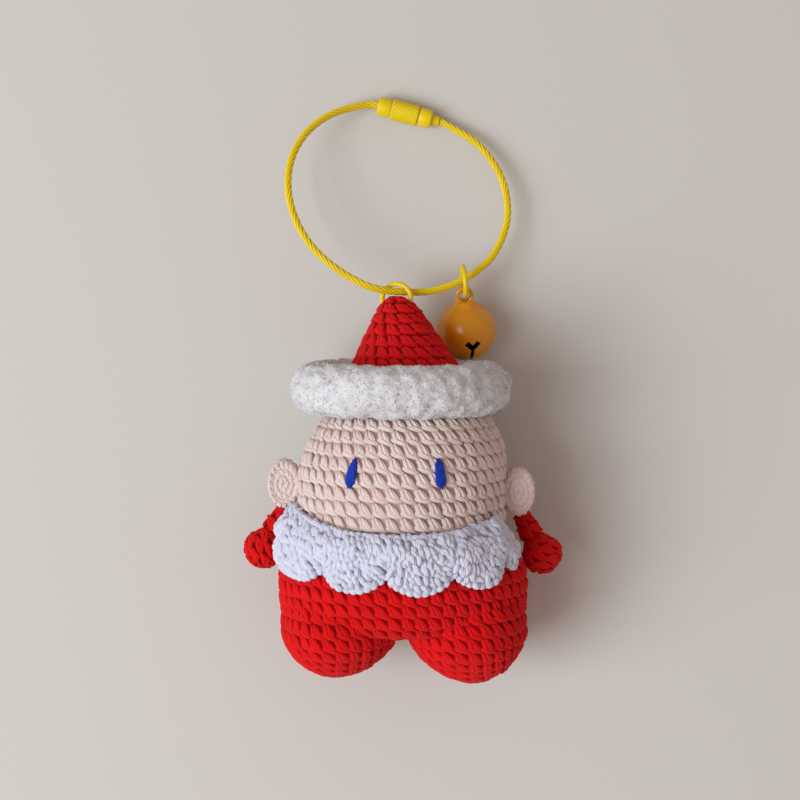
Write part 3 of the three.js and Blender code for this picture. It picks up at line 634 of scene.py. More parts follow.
class Skin:
    """The outer face of a piece of fabric, as elliptical rounds from its low end to its high end."""

    def __init__(self, sections: Sequence[Section]) -> None:
        """Measures the way up the fabric from round to round."""
        self.sections = list(sections)
        self.runs = [0.0]
        for low, high in zip(self.sections, self.sections[1:]):
            rise = math.hypot(high.y - low.y, high.w - low.w)
            swell = (high.half_depth + high.half_width - low.half_depth - low.half_width) / 2
            self.runs.append(self.runs[-1] + math.hypot(rise, swell))
        self.length = self.runs[-1]

    def at(self, run: float) -> Section:
        """The round at a distance up the fabric."""
        run = min(max(run, 0.0), self.length)
        index = min(max(bisect.bisect_right(self.runs, run) - 1, 0), len(self.sections) - 2)
        share = (run - self.runs[index]) / max(self.runs[index + 1] - self.runs[index], 1e-9)
        return self.sections[index].toward(self.sections[index + 1], share)

    def run_at(self, y: float) -> float:
        """The distance up the fabric of the round at a height y."""
        best = min(range(len(self.sections)), key=lambda index: abs(self.sections[index].y - y))
        for index in (best - 1, best):
            if 0 <= index < len(self.sections) - 1:
                low, high = self.sections[index : index + 2]
                if low.y <= y <= high.y and high.y > low.y:
                    share = (y - low.y) / (high.y - low.y)
                    return self.runs[index] + share * (self.runs[index + 1] - self.runs[index])
        return self.runs[best]

    def point(self, run: float, angle: float) -> Vector:
        """The point at a distance up the fabric and an angle from the front, towards +x."""
        y, half_width, half_depth, x, w = self.at(run)
        return Vector((x + half_width * math.sin(angle), y, w + half_depth * math.cos(angle)))

    def frame(self, run: float, angle: float, out: float) -> Matrix:
        """The frame of the fabric at a point: right, up the fabric and outwards, moved out by a distance."""
        step = 0.05
        right = self.point(run, angle + 0.01) - self.point(run, angle - 0.01)
        up = self.point(min(run + step, self.length), angle) - self.point(max(run - step, 0), angle)
        if right.length < 1e-6:
            right = Vector((math.cos(angle), 0, -math.sin(angle)))
        normal = right.cross(up).normalized()
        up = normal.cross(right).normalized()
        return framed(up.cross(normal), up, normal, self.point(run, angle) + normal * out)

    def angles(self, run: float, count: int) -> list[float]:
        """Angles at even distances round the fabric, the first one half a step from the front."""
        section = self.at(run)
        samples = 240
        lengths = [0.0]
        for sample in range(samples):
            middle = (sample + 0.5) / samples * FULL_TURN
            step = (section.half_width * math.cos(middle), section.half_depth * math.sin(middle))
            lengths.append(lengths[-1] + math.hypot(*step))
        found = []
        for number in range(count):
            aim = (number + 0.5) / count * lengths[-1]
            index = min(bisect.bisect_right(lengths, aim) - 1, samples - 1)
            share = (aim - lengths[index]) / (lengths[index + 1] - lengths[index])
            found.append((index + share) / samples * FULL_TURN)
        return found

    def holds(self, point: Vector, margin: float) -> bool:
        """Whether a point lies at least a margin inside the skin."""
        if not self.sections[0].y + margin <= point.y <= self.sections[-1].y:
            return False
        section = self.at(self.run_at(point.y))
        across = (point.x - section.x) / max(section.half_width - margin, 0.1)
        deep = (point.z - section.w) / max(section.half_depth - margin, 0.1)
        return across * across + deep * deep < 1

    def sheath(
        self, out: float, around: int, rows: int, lump: float = 0.0,
        ripple: Callable[[float], float] = lambda run: 0.0,
    ) -> Shape:
        """A closed sheath that follows the skin.

        Args:
            out: The distance from the skin, less than 0 inwards.
            around: The number of steps round it.
            rows: The number of rows up it.
            lump: How far its lumps stand out and in.
            ripple: How far it stands out besides, at each distance up the skin.

        Returns:
            The sheath, closed at both ends.
        """
        sides = [(1.0, self.length * row / rows) for row in range(rows + 1)]
        shape = spun([(0.0, 0.0), *sides, (0.0, self.length)], around)
        for vert in shape.verts:
            x, run, z = vert.co
            if math.hypot(x, z) < 0.5:
                section = self.at(run)
                vert.co = (section.x, section.y, section.w)
                continue
            place = self.frame(run, math.atan2(x, z), out + ripple(run))
            vert.co = place.translation
            if lump:
                vert.co += place.col[2].xyz * lump * noise.noise(vert.co / LUMP_SIZE)
        weld(shape, 1e-4)
        face_outwards(shape)
        return shape


@dataclass(frozen=True)
class DollForm:
    """The doll's main sizes, the same as the part's."""

    head_radius: float = 23.6
    head_y: float = -18.2
    neck_y: float = -30.0
    neck_radius: float = 23.2
    head_lean: float = 2.2
    head_polar: float = 80.0
    hem: float = 0.1
    body_half_width: float = 28.1
    body_half_depth: float = 22.4
    hip_y: float = -41.0
    crotch_y: float = -52.2
    body_x: float = 0.4
    body_round: float = 0.32
    body_seat: tuple[float, float] = (27.0, 16.5)
    body_seat_power: float = 1.4
    leg_half_depth: float = 18.8
    leg_root_share: tuple[float, float] = (0.97, 0.87)
    leg_root_y: float = -43.0
    leg_round_y: float = -50.5
    leg_taper: float = 0.64
    hat_base_radius: float = 15.7
    hat_tip_y: float = 23.3
    hat_swell: float = 0.7
    hat_tip_puff: float = 0.16
    hat_edge_y: float = -1.0
    hat_droop: float = 10.9
    hat_droop_power: float = 1.5
    hat_base_x: float = 1.9
    hat_tip_x: float = -1.1

    def head_half(self, y: float) -> float:
        """The head's radius at a height y."""
        if y >= self.head_y:
            rise = min((y - self.head_y) / self.head_radius, 1)
            return self.head_radius * math.sqrt(1 - rise * rise)
        drop = min((self.head_y - y) / (self.head_y - self.neck_y), 1)
        return self.head_radius + (self.neck_radius - self.head_radius) * drop * drop

    def body_halves(self, y: float) -> tuple[float, float]:
        """The body's half width and half depth at a height y."""
        widest = (self.body_half_width, self.body_half_depth)
        return tuple(self._body_half(y, *pair) for pair in zip(widest, self.body_seat))

    def _body_half(self, y: float, widest: float, seat: float) -> float:
        """The body's half width or half depth at a height y, from its sizes at the hips and at the seat."""
        if y >= self.hip_y:
            rise = min((y - self.hip_y) / (self.neck_y - self.hip_y), 1)
            return widest + (self.neck_radius - widest) * rise * rise
        drop = min((self.hip_y - y) / (self.hip_y - self.crotch_y), 1)
        return (widest - (widest - seat) * drop ** self.body_seat_power) * (1 - drop ** 10) ** self.body_round

    def head(self) -> Skin:
        """The head's skin, from the neck to a little way under the hat."""
        sections = []
        steps = 60
        for step in range(steps + 1):
            y = self.neck_y + self.hem + (self.head_y - self.neck_y) * step / steps
            half = self.head_half(y)
            sections.append(Section(y, half, half))
        for step in range(1, steps + 1):
            polar = math.radians(self.head_polar) * step / steps
            half = self.head_radius * math.cos(polar)
            y = self.head_y + self.hem + self.head_radius * math.sin(polar)
            sections.append(Section(y, half, half, self.head_lean * math.sin(polar)))
        return Skin(sections)

    def body(self) -> Skin:
        """The body's skin, from the crotch to the neck."""
        sections = []
        steps = 50
        for step in range(steps):
            y = self.hip_y - (1 - (step / steps) ** 1.5) * (self.hip_y - self.crotch_y)
            sections.append(Section(y, *self.body_halves(y), self.body_x))
        steps = 40
        for step in range(steps + 1):
            y = self.hip_y + (self.neck_y - self.hem - self.hip_y) * step / steps
            share = min((self.neck_y - y) / (self.neck_y - self.hip_y), 1)
            sections.append(Section(y, *self.body_halves(y), self.body_x * share))
        return Skin(sections)

    def leg(self, x: float, half_width: float, end_y: float, splay: float) -> Skin:
        """A leg's skin, from its rounded foot to its root inside the body."""
        sections = []
        for step in range(60):
            polar = math.pi / 2 * (1 - step / 60)
            share = math.sin(polar)
            swell = max(1 - share * share, 0.0) ** self.leg_taper
            y = self.leg_round_y - share * (self.leg_round_y - end_y)
            middle = x + splay * share * share
            sections.append(Section(y, half_width * swell, self.leg_half_depth * swell, middle))
        sections.append(Section(self.leg_round_y, half_width, self.leg_half_depth, x))
        wide, deep = self.leg_root_share
        sections.append(Section(self.leg_root_y, half_width * wide, self.leg_half_depth * deep, x))
        return Skin(sections)

    def hat(self) -> Skin:
        """The hat's skin, from its edge to its rounded tip, with its droop."""
        sections = []
        for step in range(81):
            left = 1 - step / 80
            y = self.hat_tip_y - (self.hat_tip_y - self.hat_edge_y) * left * left
            swell = self.hat_swell - self.hat_tip_puff * max(y / self.hat_tip_y, 0) ** 3
            half = self.hat_base_radius * (left * left * (1 - self.hat_edge_y / self.hat_tip_y)) ** swell
            sections.append(Section(y, half, half, *self._hat_centre(y)))
        return Skin(sections)

    def _hat_centre(self, y: float) -> tuple[float, float]:
        """The x and w of the hat's centre line at a height y."""
        share = y / self.hat_tip_y
        x = self.hat_base_x + (self.hat_tip_x - self.hat_base_x) * share
        return x, -self.hat_droop * max(share, 0.0) ** self.hat_droop_power


FORM = DollForm()


# Crochet


@dataclass(frozen=True)
class StrandCut:
    """One plump strand of a stitch, in shares of the stitch's cell."""

    x: float
    y: float
    heading: float
    half_length: float
    half_width: float
    height: float
    taper: float
    bow: float
    plump: float = 0.35
    sides: int = 8
    rings: int = 5
    floor: float = -0.35

    def shape(self) -> Shape:
        """The strand: a round spindle with its hidden underside cut flat, and the yarn's map on it."""
        shape = new_shape()
        lengthways = turned(90, "Y")
        bmesh.ops.create_uvsphere(
            shape, u_segments=self.sides, v_segments=self.rings, radius=1, matrix=lengthways,
        )
        for vert in shape.verts:
            swell = max(math.hypot(vert.co.y, vert.co.z), 0.05) ** -self.plump
            vert.co.y *= swell
            vert.co.z *= swell
        whole = shape.verts[:] + shape.edges[:] + shape.faces[:]
        floor = (0, 0, self.floor)
        bmesh.ops.bisect_plane(shape, geom=whole, plane_co=floor, plane_no=(0, 0, 1), clear_inner=True)
        close_holes(shape)
        layer = shape.loops.layers.uv["yarn"]
        for face in shape.faces:
            for loop in face.loops:
                loop[layer].uv = (loop.vert.co.y * 0.5 + 0.5, loop.vert.co.x * 0.5 + 0.5)
        for vert in shape.verts:
            along, across, out = vert.co
            narrow = 1 - self.taper * along
            vert.co = (
                along * self.half_length,
                across * self.half_width * narrow,
                out * self.height * narrow - self.bow * along * along,
            )
        move(shape, Matrix.Translation((self.x, self.y, 0)) @ turned(self.heading, "Z"))
        face_outwards(shape)
        return shape


@dataclass(frozen=True)
class StitchPattern:
    """A stitch as the strands that show on the outside of the fabric."""

    name: str
    strands: tuple[StrandCut, ...]

    def mesh(self) -> bpy.types.Mesh:
        """The stitch's mesh, made the first time that it is asked for."""
        found = bpy.data.meshes.get(self.name)
        if found is None:
            shape = new_shape()
            for strand in self.strands:
                absorb(shape, strand.shape())
            found = keep(shape, self.name)
        return found


class Stitch(Enum):
    """The stitches that the doll is worked in."""

    SINGLE = StitchPattern("single_crochet", (
        StrandCut(-0.02, 0.04, -49, 0.62, 0.22, 0.23, taper=-0.10, bow=0.05),
        StrandCut(-0.33, 0.03, -62, 0.52, 0.20, 0.21, taper=-0.12, bow=0.05),
        StrandCut(0.02, -0.33, -14, 0.68, 0.215, 0.22, taper=0.06, bow=0.04),
    ))
    OVAL = StitchPattern("plump_oval", (StrandCut(0, 0, 0, 0.50, 0.24, 0.26, taper=0.06, bow=0.12),))


@dataclass
class Crochet:
    """Rows of stitches over a skin, and the ground under them, painted dark as shade."""

    skin: Skin
    seed: int
    stitch_width: float = 3.08
    row_pitch: float = 3.2
    depth: float = 0.55
    ground: float = -0.60
    ridge: float = 0.16
    steady: int = 0
    unsteady: float = 0.05
    ends: tuple[float, float] = (0.0, 1e9)
    hidden: Callable[[Vector], bool] = lambda point: False

    def count(self, run: float) -> int:
        """The number of stitches in the round at a distance up the skin."""
        counted = round(self.skin.at(run).perimeter() / self.stitch_width)
        if self.steady and counted > self.steady * 0.9:
            return self.steady
        return max(counted, 5)

    def rows(self, line: float) -> list[float]:
        """The middles of the rows, so that one edge between rows lies at a distance up the skin."""
        first = line + self.row_pitch / 2
        first -= math.floor((first - self.ends[0]) / self.row_pitch) * self.row_pitch
        rows = []
        while first < min(self.ends[1], self.skin.length):
            rows.append(first)
            first += self.row_pitch
        return rows

    def stamps(self, line: float) -> Iterator[Stamp]:
        """The place of every stitch that shows.

        Args:
            line: The distance up the skin of one edge between rows.

        Yields:
            Each stitch's place and tone.
        """
        dice = random.Random(self.seed)
        for run in self.rows(line):
            count = self.count(run)
            width = self.skin.at(run).perimeter() / count
            for angle in self.skin.angles(run, count):
                place = self.skin.frame(run, angle, -self.depth)
                if self.hidden(place.translation):
                    continue
                slack = [dice.gauss(0, self.unsteady) for _ in range(4)]
                turn = Matrix.Rotation(slack[0], 4, "Z")
                shift = Matrix.Translation((slack[1], slack[2], slack[3] * 2))
                size = sized(width, self.row_pitch, (width + self.row_pitch) / 2)
                yield Stamp(place @ turn @ shift @ size, dice.random())

    def shape(self, line: float, around: int = 72, rows: int = 90) -> Shape:
        """The ground and the stitches as one shape, the ground in the second finish."""
        shape = self.skin.sheath(
            self.ground, around, rows,
            ripple=lambda run: -self.ridge * math.cos(FULL_TURN * ((run - line) / self.row_pitch + 0.2)),
        )
        use_second_finish(shape)
        stamp_all(shape, Stitch.SINGLE.value.mesh(), self.stamps(line))
        return shape


# The doll's pieces


@dataclass
class Head:
    """The pink head, worked in rounds from the top."""

    face_line_y: float = -17.2
    last_row_y: float = 3.5
    stitches: int = 48
    fill: float = 0.9

    def build(self) -> None:
        """Makes the head."""
        skin = FORM.head()
        crochet = Crochet(skin, steady=self.stitches, seed=3, ends=(0.0, skin.run_at(self.last_row_y)))
        piece = Dressed("head_crochet", "doll", ("head",), "pink_yarn", PINK_FABRIC, self.fill)
        piece.sew_on(crochet.shape(skin.run_at(self.face_line_y)))


@dataclass
class Trunk:
    """The red body and its two legs."""

    stitches: int = 52
    leg_spacing: float = 28.4
    left_half_width: float = 13.5
    left_end_y: float = -62.7
    left_splay: float = -0.9
    right_half_width: float = 13.8
    right_end_y: float = -64.1
    right_splay: float = 1.6
    margin: float = 1.8
    fill: float = 0.9

    def __post_init__(self) -> None:
        """Works out the skins of the body and the legs."""
        left_x, right_x = (FORM.body_x + side * self.leg_spacing / 2 for side in (-1, 1))
        self.body = FORM.body()
        self.legs = {
            "left_leg": FORM.leg(left_x, self.left_half_width, self.left_end_y, self.left_splay),
            "right_leg": FORM.leg(right_x, self.right_half_width, self.right_end_y, self.right_splay),
        }

    def _publish(self, node: str, shape: Shape) -> None:
        """Makes the piece that stands for a node of the trunk."""
        Dressed(f"{node}_crochet", "doll", (node,), "red_yarn", RED_FABRIC, self.fill).sew_on(shape)

    def build(self) -> None:
        """Makes the body and the legs."""
        crochet = Crochet(
            self.body, steady=self.stitches, seed=5,
            hidden=lambda point: any(leg.holds(point, self.margin) for leg in self.legs.values()),
        )
        self._publish("body", crochet.shape(self.body.length))
        for node, leg in self.legs.items():
            crochet = Crochet(leg, seed=7, hidden=lambda point: self.body.holds(point, self.margin))
            self._publish(node, crochet.shape(leg.run_at(FORM.leg_round_y), 48, 64))


@dataclass
class Hat:
    """The red cone with its drooping tip."""

    depth: float = 0.45
    ground: float = -0.52
    first_row: float = 1.0
    last_row: float = 0.4
    fill: float = 0.7

    def build(self) -> None:
        """Makes the hat."""
        skin = FORM.hat()
        ends = (self.first_row, skin.length)
        crochet = Crochet(skin, seed=11, depth=self.depth, ground=self.ground, ends=ends)
        piece = Dressed("hat_crochet", "doll", ("hat_cone",), "red_yarn", RED_FABRIC, self.fill)
        piece.sew_on(crochet.shape(skin.length - self.last_row, 56, 60))


@dataclass
class Brim:
    """The plush roll round the hat's edge: lumps of chenille under a nap of short fibres."""

    y: float = 2.8
    radius: float = 19.2
    roll: float = 5.55
    lump: float = 0.7
    lump_size: float = 2.6
    fine_share: float = 0.45
    fine_size: float = 0.35
    fibres: int = 13000
    fibre_length: float = 1.1
    fibre_radius: float = 0.11
    steps: int = 220
    sides: int = 56
    seed: int = 17
    fill: float = 0.8

    def surface(self, around: float, section: float) -> tuple[Vector, Vector]:
        """A point of the roll and its outward direction, with the lumps."""
        outward = Vector((math.sin(around), 0, math.cos(around)))
        centre = outward * self.radius + Vector((0, self.y, 0))
        normal = outward * math.cos(section) + Vector((0, 1, 0)) * math.sin(section)
        point = centre + normal * self.roll
        coarse = noise.noise(point / self.lump_size)
        fine = noise.noise(point / (self.lump_size * self.fine_size))
        return point + normal * self.lump * (coarse + self.fine_share * fine), normal

    def build(self) -> None:
        """Makes the brim."""
        shape = new_shape()
        bmesh.ops.create_circle(
            shape, segments=self.sides, radius=self.roll, matrix=Matrix.Translation((self.radius, 0, 0))
        )
        bmesh.ops.spin(
            shape, geom=shape.verts[:] + shape.edges[:], axis=(0, 1, 0), angle=FULL_TURN, steps=self.steps,
            use_merge=True,
        )
        weld(shape, 1e-5)
        for vert in shape.verts:
            x, y, z = vert.co
            vert.co = self.surface(math.atan2(x, z), math.atan2(y, math.hypot(x, z) - self.radius))[0]
        face_outwards(shape)
        # Painted shade: the roll under the tufts takes a lower tone than the tufts, so it reads darker
        # beneath the nap.
        set_tone(shape, 0.2)
        stamp_all(shape, self._fibre(), self._nap(), 500)
        Dressed("brim_plush", "doll", ("hat_brim",), "white_plush", (Finish.PLUSH,), self.fill).sew_on(shape)

    def _fibre(self) -> bpy.types.Mesh:
        """One short tapered tuft of fibre, a unit long, along z."""
        shape = new_shape()
        bmesh.ops.create_cone(shape, segments=3, radius1=1, radius2=0.2, depth=1, cap_ends=True)
        return keep(shape, "chenille_tuft")

    def _nap(self) -> Iterator[Stamp]:
        """The places of the tufts, which lie over the roll in all directions."""
        dice = random.Random(self.seed)
        for _ in range(self.fibres):
            point, normal = self.surface(dice.uniform(0, FULL_TURN), dice.uniform(0, FULL_TURN))
            lie = normal.cross(Vector((dice.gauss(0, 1), dice.gauss(0, 1), dice.gauss(0, 1)))).normalized()
            heading = (lie + normal * dice.uniform(0.15, 0.9)).normalized()
            turn = heading.to_track_quat("Z", "X").to_matrix().to_4x4()
            size = sized(self.fibre_radius, self.fibre_radius, self.fibre_length * dice.uniform(0.6, 1.2))
            yield Stamp(Matrix.Translation(point) @ turn @ size, dice.uniform(0.3, 1.0))


@dataclass
class Beard:
    """The white scalloped band round the chin: fans of plump strands with a looped edge."""

    thickness: float = 3.2
    seat: float = 0.4
    left_swell: float = 1.2
    width: float = 8.9
    scallop: float = 4.3
    lobe_power: float = 0.7
    neck_fill: float = 1.0
    neck_reach: float = 2.6
    pitch: float = 29.5
    first_cusp: float = -66.6
    left_end: float = -83.0
    right_end: float = 66.0
    top_y: float = -27.2
    left_rise: float = 5.6
    right_rise: float = 3.6
    middle_radius: float = 27.0
    strand_pitch: float = 1.2
    loop_pitch: float = 1.5
    lump: float = 0.9
    lump_size: float = 2.8
    levels: int = 8
    end_length: float = 9.0
    end_width: float = 0.08
    edge_thinness: float = 0.65
    first_level: float = 0.07
    level_span: float = 0.76
    top_level: float = 0.03
    edge_level: float = 0.94
    slant: float = -60.0
    fan: float = 44.0
    slack: float = 30.0
    top_slack: float = 25.0
    steepest: float = 1.4
    core_inset: float = 0.9
    core_thickness: float = 1.2
    strand_inset: float = 0.75
    strand_size: Triple = (2.9, 3.1, 2.8)
    top_size: Triple = (2.6, 3.2, 3.0)
    edge_size: Triple = (2.4, 3.6, 3.8)
    seed: int = 23
    fill: float = 0.5

    def top(self, angle: float) -> float:
        """The height of the band's upper edge at an angle from the front, in degrees."""
        rise, end = (self.left_rise, self.left_end) if angle < 0 else (self.right_rise, self.right_end)
        return self.top_y + rise * (angle / end) ** 2

    def depth(self, angle: float) -> float:
        """The band's width from its upper to its scalloped edge at an angle."""
        lobe = max((angle - self.first_cusp) / self.pitch, 0.5)
        wave = abs(math.sin(math.pi * lobe))
        return self.width + self.scallop * wave ** self.lobe_power

    def point(self, angle: float, share: float, out: float) -> Vector:
        """A point of the band.

        Args:
            angle: Degrees from the front, towards +x.
            share: The share of the way from the upper edge to the lower one.
            out: The distance from the doll's skin.

        Returns:
            The point, in the doll's frame.
        """
        near_end = min(angle - self.left_end, self.right_end - angle)
        shrink = math.sqrt(min(1.0, max(near_end, 0.0) / self.end_length + self.end_width))
        depth = self.depth(angle)
        y = self.top(angle) - depth / 2 + (0.5 - share) * depth * shrink
        if y >= FORM.neck_y:
            half_width = half_depth = FORM.head_half(y)
            x = 0.0
        else:
            half_width, half_depth = FORM.body_halves(y)
            x = FORM.body_x
        out += self.neck_fill * math.exp(-((y - FORM.neck_y) / self.neck_reach) ** 2)
        turn = math.radians(angle)
        return Vector((x + (half_width + out) * math.sin(turn), y, (half_depth + out) * math.cos(turn)))

    def puff(self, angle: float, share: float) -> float:
        """How far the band's face stands off the doll's skin."""
        thick = self.thickness + self.left_swell * max(angle / self.left_end, 0.0) ** 2
        return self.seat + thick * (1 - self.edge_thinness * abs(2 * share - 1) ** 3)

    def frame(self, angle: float, share: float, sink: float) -> Matrix:
        """The frame of the band's face: right, up and outwards, sunk by a distance."""
        out = self.puff(angle, share) - sink
        right = self.point(angle + 1, share, out) - self.point(angle - 1, share, out)
        above, below = (
            self.point(angle, near, self.puff(angle, near) - sink) for near in (share - 0.03, share + 0.03)
        )
        normal = right.cross(above - below).normalized()
        up = normal.cross(right).normalized()
        return framed(up.cross(normal), up, normal, self.point(angle, share, out))

    def build(self) -> None:
        """Makes the beard."""
        shape = new_shape()
        bmesh.ops.create_grid(shape, x_segments=150, y_segments=12, size=1)
        for vert in shape.verts:
            angle = self.left_end + (self.right_end - self.left_end) * (vert.co.x + 1) / 2
            share = (1 - vert.co.y) / 2
            vert.co = self.point(angle, share, self.puff(angle, share) - self.core_inset)
        face_outwards(shape)
        bmesh.ops.solidify(shape, geom=shape.faces[:], thickness=self.core_thickness)
        face_outwards(shape)
        use_second_finish(shape)
        stamp_all(shape, Stitch.OVAL.value.mesh(), self.strands())
        Dressed("beard_crochet", "doll", ("beard",), "white_yarn", WHITE_FABRIC, self.fill).sew_on(shape)

    def strands(self) -> Iterator[Stamp]:
        """The plump strands that cover the band, fanned out in each scallop, and the looped edge."""
        dice = random.Random(self.seed)
        across = math.degrees(self.strand_pitch / self.middle_radius)
        for level in range(self.levels):
            share = self.first_level + self.level_span * level / (self.levels - 1)
            angle = self.left_end + 1.5 + across * (0.5 if level % 2 else 0.0)
            while angle < self.right_end - 1.5:
                lobe = ((angle - self.first_cusp) / self.pitch + 0.5) % 1.0 - 0.5
                heading = self.slant + self.fan * lobe * share + dice.uniform(-self.slack, self.slack)
                yield self._oval(dice, angle, share + dice.uniform(-0.06, 0.06), heading, self.strand_size)
                angle += across * dice.uniform(0.8, 1.2)
        span = self.right_end - self.left_end
        across = math.degrees(self.loop_pitch / self.middle_radius)
        count = round(span / across)
        for number in range(count):
            angle = self.left_end + span * (number + 0.5) / count
            heading = dice.uniform(-self.top_slack, self.top_slack)
            yield self._oval(dice, angle, self.top_level, heading, self.top_size)
        angle = self.left_end + 1
        while angle < self.right_end - 1:
            slope = math.degrees(self.depth(angle + 0.5) - self.depth(angle - 0.5)) / self.middle_radius
            heading = -math.degrees(math.atan(max(min(slope, self.steepest), -self.steepest)))
            yield self._oval(dice, angle, self.edge_level, heading, self.edge_size)
            angle += across * math.cos(math.radians(heading))

    def _oval(self, dice: random.Random, angle: float, share: float, heading: float, size: Triple) -> Stamp:
        """One strand on the band's face.

        Args:
            dice: The source of its small unevenness.
            angle: Where it lies, in degrees from the front.
            share: Where it lies between the edges.
            heading: Its direction on the face, in degrees from the right.
            size: Its length, width and height.

        Returns:
            The strand's place and tone.
        """
        lump = self.lump * noise.noise(self.point(angle, share, 0) / self.lump_size)
        place = self.frame(angle, share, self.strand_inset - lump + dice.uniform(-0.12, 0.12))
        turn = turned(heading, "Z")
        # Painted shade: the strands are darker towards the band's upper edge, where it lies in the face's
        # shadow.
        tone = dice.random() * min(1.0, 0.1 + 2 * share)
        return Stamp(place @ turn @ sized(*size), tone)


@dataclass
class Ear:
    """A small pink disc of crochet rounds, sewn to the head's side."""

    node: str
    side: int
    y: float
    half_height: float = 5.8
    half_width: float = 4.0
    thickness: float = 5.0
    standoff: float = 2.6
    lift: float = 1.2
    inset: float = 0.5
    face_share: float = 0.80
    face_strand: tuple[float, float] = (4.6, 3.0)
    rim_strand: Triple = (3.2, 4.2, 3.0)
    rim_inset: float = 0.45
    rim_slant: float = 55.0
    rounds: tuple[tuple[float, int, float, float], ...] = (
        (0.20, 5, 88, 3.2), (0.50, 10, 80, 3.4), (0.82, 17, 62, 3.4),
    )
    rim_strands: int = 18
    fill: float = 0.6

    def __post_init__(self) -> None:
        """Sets up the source of the ear's small unevenness."""
        self.dice = random.Random(31 + self.side)

    def build(self) -> None:
        """Makes the ear."""
        half = self.thickness / 2 - self.inset
        radius = self.half_height - self.inset - 0.1
        corner = half * 0.8
        profile = [(0.0, -half)]
        for step in range(9):
            angle = -math.pi / 2 + math.pi * step / 8
            profile.append((radius - corner + corner * math.cos(angle), half * 0.95 * math.sin(angle)))
        shape = spun([*profile, (0.0, half)], 28)
        use_second_finish(shape)
        stamp_all(shape, Stitch.OVAL.value.mesh(), [*self._faces(half, radius), *self._rim(half, radius)])
        centre = (self.side * (FORM.head_half(self.y) + self.standoff), self.y, self.lift)
        squeeze = sized(self.half_width / self.half_height, 1, 1)
        move(shape, Matrix.Translation(centre) @ squeeze @ turned(90, "X"))
        piece = Dressed(f"{self.node}_crochet", "doll", (self.node,), "pink_yarn", PINK_FABRIC, self.fill)
        piece.sew_on(shape)

    def _faces(self, half: float, radius: float) -> Iterator[Stamp]:
        """The strands of the two faces, which turn from upright in the middle to slanting at the rim."""
        for face in (-1, 1):
            for share, count, slant, length in self.rounds:
                for number in range(count):
                    turn = turned(-360 * (number + 0.5 * share) / count, "Y")
                    place = turn @ Matrix.Translation((radius * share, face * half * self.face_share, 0))
                    lie = turned(-90 * face, "X") @ turned(slant, "Z")
                    yield Stamp(place @ lie @ sized(length, *self.face_strand), self.dice.random())

    def _rim(self, half: float, radius: float) -> Iterator[Stamp]:
        """The strands round the rim, in two rounds that slant against each other."""
        for level in (-0.5, 0.5):
            for number in range(self.rim_strands):
                turn = turned(-360 * (number + level) / self.rim_strands, "Y")
                place = turn @ Matrix.Translation((radius - self.rim_inset, level * half * 1.1, 0))
                lie = turned(90, "Y") @ turned(self.rim_slant * level * 2, "Z")
                yield Stamp(place @ lie @ sized(*self.rim_strand), self.dice.random())


@dataclass
class Eye:
    """A blue spindle of floss: long satin stitches side by side on the front of the head."""

    node: str
    side: int
    tops: tuple[float, float]
    spacing: float = 18.5
    shift: float = -1.5
    y: float = -14.3
    half_height: float = 3.75
    half_width: float = 0.95
    standoff: float = 0.18
    swell: float = 0.16
    satin: tuple[float, ...] = (-0.62, -0.2, 0.22, 0.64)
    shorter: float = 0.42
    strand: tuple[float, float] = (2.2, 2.8)
    fill: float = 1.0

    def build(self) -> None:
        """Makes the eye."""
        head = FORM.head()
        x = self.shift + self.side * self.spacing / 2
        place = head.frame(head.run_at(self.y), math.asin(x / FORM.head_half(self.y)), self.standoff)
        stamps = []
        for share in self.satin:
            lean = turned(90 + self.tops[0] + share * self.tops[1], "Z")
            size = sized(2 * self.half_height * (1 - self.shorter * abs(share)), *self.strand)
            lay = Matrix.Translation((share * self.half_width, 0, self.swell * (1 - share * share)))
            stamps.append(Stamp(place @ lay @ lean @ size, 0.5 + 0.3 * share))
        shape = new_shape()
        stamp_all(shape, Stitch.OVAL.value.mesh(), stamps)
        piece = Dressed(f"{self.node}_floss", "doll", (self.node,), "blue_yarn", (Finish.BLUE,), self.fill)
        piece.sew_on(shape)


@dataclass
class Arm:
    """A short red arm: a tube of stitches that swells to a round hand."""

    node: str
    side: int
    hand: tuple[float, float]
    hand_radius: float = 4.4
    shoulder_radius: float = 1.5
    shoulder: tuple[float, float] = (26.5, -24.8)
    root_radius: float = 1.7
    w: float = -4.5
    root_y: float = -27.0
    gap: float = 0.35
    stitch: float = 2.9
    depth: float = 0.42
    ground: float = -0.46
    last_row: float = 0.4
    fill: float = 0.8

    def _seam_w(self) -> float:
        """How far towards the face the seam lies where the arm is sewn on."""
        half = FORM.head_half(self.root_y)
        return (half + self.root_radius + self.gap) * self.w / half

    @staticmethod
    def _ball(centre: float, radius: float, polars: tuple[float, float], steps: int) -> list[Section]:
        """The rounds of a ball on the arm's axis, between two angles from its equator in degrees."""
        sections = []
        for step in range(steps + 1):
            polar = math.radians(polars[0] + (polars[1] - polars[0]) * step / steps)
            half = max(radius * math.cos(polar), 0.01)
            sections.append(Section(centre + radius * math.sin(polar), half, half))
        return sections

    def build(self) -> None:
        """Makes the arm."""
        shoulder = Vector((self.side * self.shoulder[0], self.shoulder[1], self._seam_w()))
        reach = Vector((*self.hand, shoulder.z)) - shoulder
        root = self._ball(0.0, self.shoulder_radius, (-90, 15), 15)
        skin = Skin([*root, *self._ball(reach.length, self.hand_radius, (-48, 90), 32)])
        crochet = Crochet(
            skin, 41 + self.side, self.stitch, self.stitch, depth=self.depth, ground=self.ground
        )
        shape = crochet.shape(skin.length - self.last_row, 28, 40)
        heading = Matrix.Rotation(math.atan2(reach.y, reach.x) - math.pi / 2, 4, "Z")
        move(shape, Matrix.Translation(shoulder) @ heading)
        piece = Dressed(f"{self.node}_crochet", self.node, (self.node,), "red_yarn", RED_FABRIC, self.fill)
        piece.sew_on(shape)


